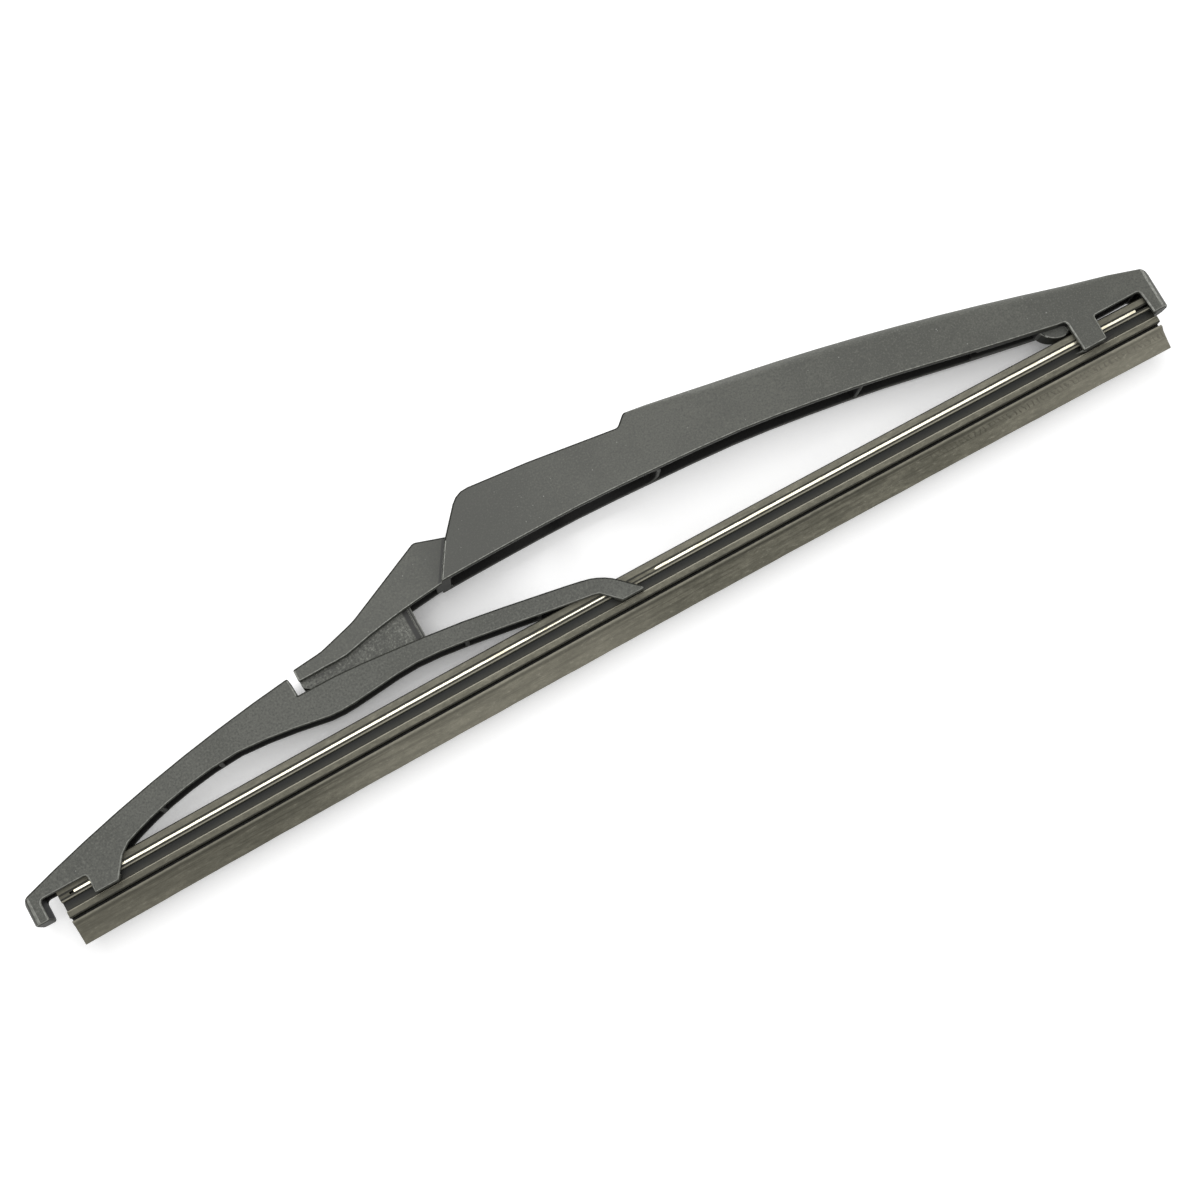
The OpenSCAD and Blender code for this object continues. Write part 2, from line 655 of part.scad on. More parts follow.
// Pivot block: an eye on the lever's pivot, and a web that fills the leaf's channel.
module pivot_block() {
    x0 = leaf_x + block_fit * 2;
    x1 = x0 + block_length;
    foot = pivot_y + 0.6;
    roof = cut_outline(lowered(leaf_top, leaf_roof + block_fit), x0, x1);
    groove_x = x1 - block_groove_inset;
    color(lever_colour) in_frame() difference() {
        union() {
            across(2 * block_half) outline(concat(roof, [
                [x1, foot],
                [pivot_x + 1, foot - 1],
                [pivot_x - 1, foot - 1],
                [x0, rubber_top + 13.8]]));
            translate([pivot_x, pivot_y, 0]) cylinder(r = block_eye_radius, h = 2 * block_half, center = true);
        }
        translate([pivot_x, pivot_y, 0])
            cylinder(d = trunnion_diameter + 2 * pivot_clearance, h = 3 * block_half, center = true);
        // The shallow upright groove near the block's right end, on both sides.
        for (side = [-1, 1])
            translate([groove_x, below_blade, side > 0 ? block_half - block_groove_depth : -block_half - past])
                cube([block_groove_width, above_blade, block_groove_depth + past]);
    }
}

main_bridge();
pivot_block();
secondary_lever();
rubber_strip();
flexor(1);  // flexor_front
flexor(-1);  // flexor_back
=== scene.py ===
"""A rear wiper blade that lies on one flank on a white studio table.

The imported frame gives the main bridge, the rocking lever, its pivot block, the wiping rubber and two
steel strips. This script rounds the edges of the mouldings, sweeps the rubber and the strips with the
small unevenness of the real ones, gives every piece its finish, and sets the table, lamps and camera.
Lengths in the classes are millimetres in the part's own frame: +X along the rubber, +Y from the glass
to the wiper arm, +Z up from the table, with the origin at the middle of the arm pin.
"""

import logging
import math
from collections.abc import Iterator
from contextlib import contextmanager
from dataclasses import dataclass, replace
from enum import Enum
from typing import Any

import bmesh
import bpy
import numpy as np
from mathutils import Matrix, Vector
from mathutils.bvhtree import BVHTree


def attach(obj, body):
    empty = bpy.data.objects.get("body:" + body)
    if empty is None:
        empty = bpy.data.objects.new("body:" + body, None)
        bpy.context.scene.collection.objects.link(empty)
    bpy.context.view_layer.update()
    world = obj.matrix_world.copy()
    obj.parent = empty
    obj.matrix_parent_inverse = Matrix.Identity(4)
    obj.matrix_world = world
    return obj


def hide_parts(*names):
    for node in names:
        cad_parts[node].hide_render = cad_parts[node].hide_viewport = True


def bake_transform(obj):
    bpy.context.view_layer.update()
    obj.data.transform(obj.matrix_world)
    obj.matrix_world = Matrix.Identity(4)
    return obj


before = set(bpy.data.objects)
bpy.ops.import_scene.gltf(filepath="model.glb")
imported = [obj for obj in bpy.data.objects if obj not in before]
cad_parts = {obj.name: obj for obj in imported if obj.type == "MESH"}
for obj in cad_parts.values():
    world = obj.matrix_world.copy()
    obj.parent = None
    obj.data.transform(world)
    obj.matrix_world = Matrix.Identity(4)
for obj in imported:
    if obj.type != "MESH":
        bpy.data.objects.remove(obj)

MM = 0.001
REST_PLACE = "rest_place"
Colour = tuple[float, float, float]
Place = tuple[float, float, float]
Settings = dict[str, Any]
Inputs = dict[Any, Any]
Array = np.ndarray
BLACK: Colour = (0.0, 0.0, 0.0)
WHITE: Colour = (1.0, 1.0, 1.0)
log = logging.getLogger("wiper_blade")


class Axis(Enum):
    """The part's axes, by their place in a vector."""

    LENGTH = 0
    HEIGHT = 1
    ACROSS = 2


class Flank(Enum):
    """The two sides of the blade: the one that faces the camera, and the one that lies on the table."""

    FRONT = 1
    BACK = -1


class Face(Enum):
    """What a face of a moulding is, which is also its material slot's number."""

    SHOWN = 0
    EDGE = 1
    INSIDE = 2
    SHADED = 3
    RIDGE = 4


def paint(red: int, green: int, blue: int) -> Colour:
    """A colour given as a screen shows it, from 0 to 255, in the linear values that shaders take."""
    shares = (c / 255.0 for c in (red, green, blue))
    return tuple(c / 12.92 if c <= 0.04045 else ((c + 0.055) / 1.055) ** 2.4 for c in shares)


def scaled(colour: Colour, factor: float) -> Colour:
    """A colour made darker or lighter by a factor."""
    return tuple(c * factor for c in colour)


def smooth_step(x: Array, low: float, high: float) -> Array:
    """Rises from 0 at low to 1 at high, as 3t^2 - 2t^3 of the clipped share t.

    Args:
        x: where to work it out.
        low: where the rise starts.
        high: where the rise ends.

    Returns:
        The share at each x.
    """
    t = np.clip((x - low) / (high - low), 0.0, 1.0)
    return t * t * (3.0 - 2.0 * t)


def hump(x: Array, low: float, full: float, ebbs: float, end: float) -> Array:
    """Rises smoothly from 0 at low to 1 at full, and falls back from 1 at ebbs to 0 at end."""
    return smooth_step(x, low, full) * smooth_step(x, end, ebbs)


def waver(x: Array, wavelengths: tuple[float, ...], seed: int) -> Array:
    """A smooth uneven line: the mean of sines of the given wavelengths with seeded phases.

    Args:
        x: places along the line, in millimetres.
        wavelengths: the sines' lengths, in millimetres.
        seed: which line to give.

    Returns:
        Values between -1 and 1.
    """
    phases = np.random.default_rng(seed).uniform(0.0, 2.0 * math.pi, len(wavelengths))
    waves = 2.0 * math.pi * x[..., None] / np.array(wavelengths) + phases
    return np.sin(waves).mean(axis=-1)


def read(items: Any, name: str, kind: type = float, width: int = 1) -> Array:
    """Reads one property of all of a mesh's points, edges, corners or faces.

    Args:
        items: the mesh's points, edges, corners or faces.
        name: the property.
        kind: what the numbers are.
        width: how many numbers each item has.

    Returns:
        One number for each item, or one row where an item has more.
    """
    values = np.empty(len(items) * width, kind)
    items.foreach_get(name, values)
    return values if width == 1 else values.reshape(-1, width)


@contextmanager
def edited(mesh: bpy.types.Mesh) -> Iterator[bmesh.types.BMesh]:
    """Opens a mesh for editing, and writes what has become of it back."""
    work = bmesh.new()
    work.from_mesh(mesh)
    yield work
    work.to_mesh(mesh)
    work.free()


def put(name: str, data: bpy.types.ID) -> bpy.types.Object:
    """Puts a new object with this data into the scene."""
    made = bpy.data.objects.new(name, data)
    bpy.context.scene.collection.objects.link(made)
    return made


class Signal:
    """A shader socket that takes part in Python arithmetic, adding one Math node for each operator."""

    def __init__(self, graph: "Nodes", socket: bpy.types.NodeSocket) -> None:
        """Wraps a socket of a graph."""
        self.graph = graph
        self.socket = socket

    def _math(self, operation: str, *values: Any) -> "Signal":
        """Adds a Math node with this operation on the given values."""
        inputs = dict(enumerate(values))
        return self.graph.node("ShaderNodeMath", {"operation": operation}, inputs)

    def __add__(self, other: Any) -> "Signal":
        """self + other."""
        return self._math("ADD", self, other)

    def __radd__(self, other: Any) -> "Signal":
        """other + self."""
        return self._math("ADD", other, self)

    def __sub__(self, other: Any) -> "Signal":
        """self - other."""
        return self._math("SUBTRACT", self, other)

    def __rsub__(self, other: Any) -> "Signal":
        """other - self."""
        return self._math("SUBTRACT", other, self)

    def __mul__(self, other: Any) -> "Signal":
        """self * other."""
        return self._math("MULTIPLY", self, other)

    def __rmul__(self, other: Any) -> "Signal":
        """other * self."""
        return self._math("MULTIPLY", other, self)

    def __truediv__(self, other: Any) -> "Signal":
        """self / other."""
        return self._math("DIVIDE", self, other)

    def __rtruediv__(self, other: Any) -> "Signal":
        """other / self."""
        return self._math("DIVIDE", other, self)

    def __abs__(self) -> "Signal":
        """The size of self without its sign."""
        return self._math("ABSOLUTE", self)

    def sine(self) -> "Signal":
        """The sine of self, in radians."""
        return self._math("SINE", self)

    def clipped(self) -> "Signal":
        """self held between 0 and 1."""
        return self.graph.node("ShaderNodeClamp", {}, {"Value": self, "Min": 0.0, "Max": 1.0})

    def rise(self, low: float, high: float) -> "Signal":
        """A smooth step from 0 at low to 1 at high, or from 1 to 0 where high is the lower one.

        Args:
            low: the value where the step is 0.
            high: the value where the step is 1.

        Returns:
            The step.
        """
        start, end, first, last = (low, high, 0.0, 1.0) if low < high else (high, low, 1.0, 0.0)
        return self.graph.node(
            "ShaderNodeMapRange",
            {"interpolation_type": "SMOOTHSTEP"},
            {"Value": self, "From Min": start, "From Max": end, "To Min": first, "To Max": last},
        )

    def band(self, low: float, high: float, soft: float) -> "Signal":
        """1 between low and high, falling to 0 over a soft width outside them."""
        return self.rise(low - soft, low) * self.rise(high + soft, high)


class Nodes:
    """Adds nodes to the tree of a material or of the world."""

    def __init__(self, tree: bpy.types.NodeTree) -> None:
        """Takes a tree and empties it."""
        self.tree = tree
        self.tree.nodes.clear()

    def add(self, kind: str, settings: Settings, inputs: Inputs) -> bpy.types.Node:
        """Adds one node.

        Args:
            kind: Blender's name of the node type.
            settings: the node's own properties, set before its sockets.
            inputs: values or signals, by the socket's name or number.

        Returns:
            The node.
        """
        made = self.tree.nodes.new(kind)
        for name, value in settings.items():
            setattr(made, name, value)
        self.fill(made, inputs)
        return made

    def fill(self, made: bpy.types.Node, inputs: Inputs) -> None:
        """Sets or links a node's sockets.

        Args:
            made: the node.
            inputs: values or signals, by the socket's name or number.
        """
        for name, value in inputs.items():
            socket = made.inputs[name]
            if isinstance(value, Signal):
                self.tree.links.new(value.socket, socket)
            elif socket.type == "RGBA":
                socket.default_value = (*value, 1.0)
            else:
                socket.default_value = value

    def node(self, kind: str, settings: Settings, inputs: Inputs, output: Any = 0) -> Signal:
        """Adds one node, as add does, and gives the output with this name or number."""
        return Signal(self, self.add(kind, settings, inputs).outputs[output])

    def seen_white(self) -> Signal:
        """1 for rays from the camera, from glossy surfaces and through clear ones, and 0 for the rest."""
        path = self.add("ShaderNodeLightPath", {}, {})
        names = ("Is Camera Ray", "Is Glossy Ray", "Is Transmission Ray")
        camera, glossy, through = (Signal(self, path.outputs[name]) for name in names)
        return (camera + glossy + through).clipped()


class Graph(Nodes):
    """The node tree of one material, with a Principled shader at its end."""

    def __init__(self, name: str, bends: bool = False) -> None:
        """Makes an empty material of this name, for a stiff piece or for one that bends."""
        self.bends = bends
        self.material = bpy.data.materials.new(name)
        self.material.use_nodes = True
        super().__init__(self.material.node_tree)
        self.shader = self.add("ShaderNodeBsdfPrincipled", {}, {})
        surface = Signal(self, self.shader.outputs[0])
        self.add("ShaderNodeOutputMaterial", {}, {"Surface": surface})

    def place(self, stretch: Place = (1.0, 1.0, 1.0)) -> Signal:
        """The surface's own place in the part's frame, in millimetres, stretched along each axis. On a
        piece that bends it is the place at rest, so that the pattern bends with it."""
        if self.bends:
            coordinate = self.node("ShaderNodeAttribute", {"attribute_name": REST_PLACE}, {}, "Vector")
        else:
            coordinate = self.node("ShaderNodeTexCoord", {}, {}, "Object")
        scale = tuple(s / MM for s in stretch)
        return self.node("ShaderNodeMapping", {}, {"Vector": coordinate, "Scale": scale})

    def split(self, vector: Signal) -> tuple[Signal, Signal, Signal]:
        """The three parts of a vector."""
        node = self.add("ShaderNodeSeparateXYZ", {}, {"Vector": vector})
        return tuple(Signal(self, node.outputs[axis.value]) for axis in Axis)

    def noise(self, vector: Signal, scale: float, detail: float = 2.0, roughness: float = 0.5) -> Signal:
        """Soft noise between 0 and 1, with this many features to a millimetre."""
        inputs = {"Vector": vector, "Scale": scale, "Detail": detail, "Roughness": roughness}
        return self.node("ShaderNodeTexNoise", {}, inputs, "Fac")

    def specks(self, vector: Signal, spacing: float, size: float, share: float) -> Signal:
        """Scattered round specks: 1 on a speck and 0 between them.

        Args:
            vector: the place, in millimetres.
            spacing: the size of the cells, of which each may hold a speck.
            size: a speck's radius.
            share: the share of the cells that hold one.

        Returns:
            The specks.
        """
        inputs = {"Vector": vector, "Scale": 1.0 / spacing}
        reach = self.node("ShaderNodeTexVoronoi", {}, inputs, "Distance") * spacing
        cell, _, _ = self.split(self.node("ShaderNodeTexVoronoi", {}, inputs, "Color"))
        return reach.rise(size, size * 0.5) * cell.rise(share, share * 0.9)

    def mix(self, share: Any, first: Any, second: Any) -> Signal:
        """A colour that goes from first to second as share goes from 0 to 1.

        Args:
            share: a number or signal between 0 and 1.
            first: a colour or a signal.
            second: a colour or a signal.

        Returns:
            The mixed colour.
        """
        inputs = {"Factor": share, 6: first, 7: second}
        return self.node("ShaderNodeMix", {"data_type": "RGBA"}, inputs, 2)

    def over(self, tone: Any, *layers: tuple[Any, Any]) -> Signal:
        """Lays colours over a tone, one after another.

        Args:
            tone: the colour that is there first.
            layers: the share and the colour of each.

        Returns:
            The colour after the last layer.
        """
        for share, colour in layers:
            tone = self.mix(share, tone, colour)
        return tone

    def bump(self, height: Signal, distance: float, strength: float = 1.0) -> Signal:
        """A normal that follows a height, where a height of 1 stands this many millimetres proud."""
        inputs = {"Height": height, "Distance": distance * MM, "Strength": strength}
        return self.node("ShaderNodeBump", {}, inputs, "Normal")

    def finish(self, **inputs: Any) -> bpy.types.Material:
        """Sets the shader's sockets, whose names have an underscore for each space.

        Args:
            inputs: values or signals, by the socket's name.

        Returns:
            The material.
        """
        self.fill(self.shader, {name.replace("_", " "): value for name, value in inputs.items()})
        return self.material


@dataclass(frozen=True)
class ShadowLine:
    """A line across a flank with painted shadow on its left: a point on it, its lean from upright, and
    the painted shadow's width, strength and soft share."""

    x: float
    y: float
    lean: float
    width: float
    depth: float
    soft_share: float = 0.3

    def painted_shade(self, here: Signal, g: Graph) -> Signal:
        """The painted shadow's strength at a place: it lies where the distance to the line's right, which
        is (x - x0) cos(lean) - (y - y0) sin(lean), goes from minus the width to 0."""
        x, y, _ = g.split(here)
        off = (x - self.x) * math.cos(self.lean) - (y - self.y) * math.sin(self.lean)
        return off.band(-self.width, 0.0, self.width * self.soft_share) * self.depth


@dataclass(frozen=True)
class ShadedStretch:
    """A stretch of a flank darkened as painted shade: where it starts, is full, ebbs and has ended,
    its share where it is full, and the factor of its colour."""

    start: float
    full: float
    ebbs: float
    end: float
    depth: float = 0.6
    darker: float = 0.86

    def strength(self, here: Signal, g: Graph) -> Signal:
        """How deep the painted shade is at a place."""
        x, _, _ = g.split(here)
        return x.rise(self.start, self.full) * x.rise(self.end, self.ebbs) * self.depth


@dataclass(frozen=True)
class MouldedPlastic:
    """Dark moulded plastic: a fine grain and pale dust on what shows, a pale line on the outer edges that
    is part rubbed wear and part painted highlight, painted shade on the rounded edge along the top and
    on faces that look down, and painted shade on the smooth faces inside."""

    name: str
    colour: Colour
    blotch: Colour
    grain_per_mm: float
    grain_depth: float
    grain_contrast: float
    roughness: float
    # pale edge colour: part rubbed wear, part painted highlight
    edge: Colour
    shaded_stretch: ShadedStretch | None = None
    # painted shade: the colour of the faces inside and of the painted shadow lines
    inside: Colour = paint(24, 24, 22)
    dust: Colour = paint(188, 189, 182)
    dust_spacing: float = 1.7
    dust_size: float = 0.17
    dust_share: float = 0.12
    # painted shade: the colour's share on faces that look down, and on the rounded edge along the top
    shade: float = 0.66
    ridge_shade: float = 0.25
    shadow_line: ShadowLine | None = None

    def make(self, face: Face) -> bpy.types.Material:
        """Builds the material of one kind of face."""
        makers = {
            Face.SHOWN: self.shown,
            Face.EDGE: self.rubbed_and_highlit,
            Face.INSIDE: self.shaded_inside,
            Face.SHADED: lambda: self.with_painted_shade("_underside", self.shade),
            Face.RIDGE: lambda: self.with_painted_shade("_ridge", self.ridge_shade),
        }
        return makers[face]()

    def shown(self) -> bpy.types.Material:
        """The grained outside, mottled at two scales, with scattered dust."""
        g = Graph(self.name)
        here = g.place()
        grain = g.noise(here, self.grain_per_mm, 3.0, 0.65)
        cloud = g.noise(here, 0.055, 3.0, 0.6)
        blotch = g.noise(here, 0.28, 3.0, 0.6)
        mottled = cloud.rise(0.36, 0.66) * 0.6 + blotch.rise(0.5, 0.75) * 0.4
        deep = scaled(self.colour, 1.0 - self.grain_contrast)
        high = scaled(self.blotch, 1.0 + self.grain_contrast)
        dust = g.specks(here, self.dust_spacing, self.dust_size, self.dust_share)
        tone = g.over(
            self.colour,
            (mottled, self.blotch),
            (grain.rise(0.52, 0.34), deep),
            (grain.rise(0.52, 0.7), high),
            (dust * (0.2 + 0.7 * blotch), self.dust),
        )
        # painted shade on a stretch of the flank, then a painted shadow line
        if self.shaded_stretch:
            deepest = scaled(deep, self.shaded_stretch.darker)
            tone = g.mix(self.shaded_stretch.strength(here, g), tone, deepest)
        if self.shadow_line:
            tone = g.mix(self.shadow_line.painted_shade(here, g), tone, self.inside)
        rough = self.roughness + (grain - 0.5) * 0.2 + blotch * 0.05
        return g.finish(Base_Color=tone, Roughness=rough, Normal=g.bump(grain, self.grain_depth))

    def rubbed_and_highlit(self) -> bpy.types.Material:
        """A rounded edge, painted pale all along as a highlight and rubbed paler in places."""
        g = Graph(self.name + "_edge")
        here = g.place()
        rub = g.noise(here, 1.1, 3.0, 0.6).rise(0.36, 0.62)
        # painted highlight along the whole edge, with rubbed wear over it
        tone = g.mix(0.4 + rub * 0.6, self.colour, self.edge)
        normal = g.bump(g.noise(here, self.grain_per_mm, 2.0), self.grain_depth * 0.4)
        return g.finish(Base_Color=tone, Roughness=0.34 + rub * 0.1, Normal=normal)

    def with_painted_shade(self, ending: str, shade: float) -> bpy.types.Material:
        """A face in painted shade: an underside, or the rounded edge along the top.

        Args:
            ending: what the material's name ends with.
            shade: the painted shade's share of the plastic's colour.

        Returns:
            The material.
        """
        g = Graph(self.name + ending)
        grain = g.noise(g.place(), self.grain_per_mm, 3.0, 0.65)
        painted_shade = scaled(self.colour, shade)
        half_shade = scaled(self.colour, (1.0 + shade) * 0.5)
        tone = g.mix(grain.rise(0.4, 0.65), painted_shade, half_shade)
        return g.finish(
            Base_Color=tone,
            Roughness=0.6 + grain * 0.1,
            Specular_IOR_Level=shade * 0.5,
            Normal=g.bump(grain, 0.02),
        )

    def shaded_inside(self) -> bpy.types.Material:
        """A face inside the moulding, in painted shade, with the faint lines of the mould."""
        g = Graph(self.name + "_inside")
        lines = g.noise(g.place((0.08, 1.5, 1.5)), 1.0, 3.0)
        deep = scaled(self.inside, 0.6)
        tone = g.mix(lines.rise(0.4, 0.7), deep, self.inside)
        return g.finish(
            Base_Color=tone,
            Roughness=0.5 + lines * 0.15,
            Specular_IOR_Level=0.25,
            Normal=g.bump(lines, 0.02),
        )


@dataclass(frozen=True)
class Stripe:
    """A line along the rubber: its heights over the lip, its soft margin and its strength."""

    low: float
    high: float
    soft: float
    strength: float = 1.0

    @staticmethod
    def all_of(stripes: "tuple[Stripe, ...]", height: Signal) -> Signal:
        """The strength of all the stripes together at a height, held under 1."""
        total = sum(height.band(s.low, s.high, s.soft) * s.strength for s in stripes)
        return total.clipped()


@dataclass(frozen=True)
class Recess:
    """A hollow along the rubber's side. Its shade sets in between the distances mouth and deep from the
    middle plane, from the height under to low, and goes from the height high to over."""

    mouth: float
    deep: float
    under: float
    low: float
    high: float
    over: float

    def inside(self, off_centre: Signal, height: Signal) -> Signal:
        """1 inside the hollow and 0 outside it."""
        tall = height.rise(self.under, self.low) * height.rise(self.over, self.high)
        return off_centre.rise(self.mouth, self.deep) * tall


@dataclass(frozen=True)
class WiperRubber:
    """Extruded rubber: a grey-brown bloom on what is touched, near black in the grooves, where fresh
    rubber lies under painted shade, with painted shadow lines and painted highlight lines along it, and
    streaked along the tip. Its marks go by the height over the lip, which follows the arch."""

    arch_rise: float
    half_length: float
    middle_x: float
    lip_y: float
    bloom: Colour = paint(99, 97, 84)
    pale: Colour = paint(138, 135, 119)
    # chalky bloom and wear, and also the colour of the painted highlight lines
    chalk_and_highlight: Colour = paint(172, 168, 152)
    streak: Colour = paint(66, 64, 54)
    fresh: Colour = paint(19, 21, 17)
    shadow_black: Colour = paint(14, 14, 10)
    # hollows that take painted shade
    groove: Recess = Recess(2.3, 1.8, 8.3, 8.7, 10.9, 11.2)
    neck: Recess = Recess(2.2, 1.2, 6.0, 6.1, 6.9, 7.1)
    slot: Recess = Recess(2.96, 2.92, 11.6, 11.7, 12.7, 12.85)
    # painted shadow lines: the gaps at the slot's lips, the head's top edge and the top of the neck
    shadow_lines: tuple[Stripe, ...] = (
        Stripe(12.5, 12.9, 0.08),
        Stripe(11.45, 11.78, 0.08),
        Stripe(14.38, 15.2, 0.08),
        Stripe(6.9, 7.15, 0.08),
    )
    # painted highlight lines on the flange's edge, the sill under the slot and the shoulder
    highlight_lines: tuple[Stripe, ...] = (
        Stripe(8.5, 8.64, 0.07),
        Stripe(11.08, 11.28, 0.06, 0.7),
        Stripe(5.72, 5.98, 0.08, 0.3),
    )
    line_strength: float = 0.85

    def make(self) -> bpy.types.Material:
        """Builds the material: the bloom first, then the tip's marks, the painted shade in the hollows,
        and the fine lines of painted shadow and painted highlight.
        """
        g = Graph("wiper_rubber", bends=True)
        here = g.place()
        x, y, z = g.split(here)
        run = (x - self.middle_x) / self.half_length
        height = y - self.lip_y - self.arch_rise * (1.0 - run * run)
        off_centre = abs(z)
        cloud = g.noise(g.place((0.12, 0.6, 0.6)), 1.0, 4.0, 0.6)
        fine = g.noise(here, 5.0, 3.0, 0.65)
        mottle = g.noise(g.place((0.5, 1.4, 1.4)), 1.0, 5.0, 0.7)
        wobble = (g.noise(here, 0.5, 2.0) - 0.5) * 12.0
        hatch = (x * 4.4 + height * 1.6 + wobble).sine().rise(0.2, 0.95)
        hatch = hatch * height.band(3.4, 4.4, 0.4) * x.rise(70.0, 120.0) * cloud.rise(0.32, 0.5)
        tone = g.over(
            self.bloom,
            (cloud.rise(0.34, 0.72) * 0.55, self.pale),
            (mottle.rise(0.55, 0.32) * 0.45, self.streak),
            (mottle.rise(0.55, 0.72) * 0.4, self.chalk_and_highlight),
            (fine.rise(0.52, 0.34) * 0.35, self.streak),
            (x.rise(-45.0, -120.0) * 0.3, self.streak),
            (height.band(13.0, 14.45, 0.1) * 0.12, self.chalk_and_highlight),
        )
        tone = self.mark_tip(g, tone, height)
        tone = g.mix(hatch, tone, self.streak)
        tone = self.wear_tip(g, tone, x, height)
        # the groove goes to fresh rubber with painted shade over it, easing towards its bottom; the neck
        # and the slot go to painted shadow
        groove = self.groove.inside(off_centre, height)
        outside = off_centre.rise(2.2, 2.4) * self.line_strength
        tone = g.over(
            tone,
            (groove, self.fresh),
            (groove * height.rise(10.4, 8.8) * 0.24, self.bloom),
            (self.neck.inside(off_centre, height), self.shadow_black),
            (self.slot.inside(off_centre, height), self.shadow_black),
            (Stripe.all_of(self.shadow_lines, height) * outside, self.shadow_black),
            (Stripe.all_of(self.highlight_lines, height) * outside, self.chalk_and_highlight),
        )
        rough = 0.62 + (cloud - 0.5) * 0.2 - groove * 0.1
        normal = g.bump(fine * 0.35 + mottle * 0.5 + hatch * 0.4, 0.06)
        return g.finish(Base_Color=tone, Roughness=rough, Specular_IOR_Level=0.3, Normal=normal)

    def mark_tip(self, g: Graph, tone: Signal, height: Signal) -> Signal:
        """Streaks the tip along its length, most of all on its upper half, and paints shade in a line
        under its shoulder.

        Args:
            g: the rubber's nodes.
            tone: the colour so far.
            height: heights over the lip.

        Returns:
            The colour with the marks.
        """
        tip = height.rise(6.15, 6.0)
        upper_tip = height.band(2.6, 5.2, 1.2)
        streaks = g.noise(g.place((0.045, 1.7, 1.7)), 1.0, 5.0, 0.65).rise(0.46, 0.64)
        return g.over(
            tone,
            (tip * streaks * (0.15 + 0.45 * upper_tip), self.streak),
            # painted shade on the underside of the shoulder
            (tip * height.band(5.05, 5.4, 0.12) * 0.6, self.streak),
        )

    def wear_tip(self, g: Graph, tone: Signal, x: Signal, height: Signal) -> Signal:
        """Scuffs the tip pale, most of all at its right end, in the middle and at its left end.

        Args:
            g: the rubber's nodes.
            tone: the colour so far.
            x: places along the part.
            height: heights over the lip.

        Returns:
            The colour with the wear.
        """
        tip = height.rise(6.15, 6.0)
        scuff = g.noise(g.place((0.55, 1.3, 1.3)), 1.0, 5.0, 0.75).rise(0.56, 0.72)
        worn = x.rise(90.0, 150.0) + x.band(-60.0, -8.0, 30.0) * 0.7 + x.rise(-95.0, -150.0) * 0.35
        return g.mix(tip * worn.clipped() * (0.3 + scuff * 0.4), tone, self.chalk_and_highlight)


@dataclass(frozen=True)
class RolledSteel:
    """Bright rolled spring steel with fine lines along its length and a few warm stains."""

    bright: Colour = paint(233, 228, 207)
    warm: Colour = paint(176, 166, 134)

    def make(self) -> bpy.types.Material:
        """Builds the material."""
        g = Graph("strip_steel", bends=True)
        lines = g.noise(g.place((0.04, 9.0, 9.0)), 1.0, 3.0)
        stain = g.noise(g.place((0.16, 1.0, 1.0)), 1.0, 4.0, 0.6).rise(0.5, 0.7)
        tone = g.mix(stain * 0.6 + lines.rise(0.55, 0.8) * 0.25, self.bright, self.warm)
        rough = 0.3 + lines * 0.15
        return g.finish(Base_Color=tone, Roughness=rough, Metallic=1.0, Normal=g.bump(lines, 0.01))


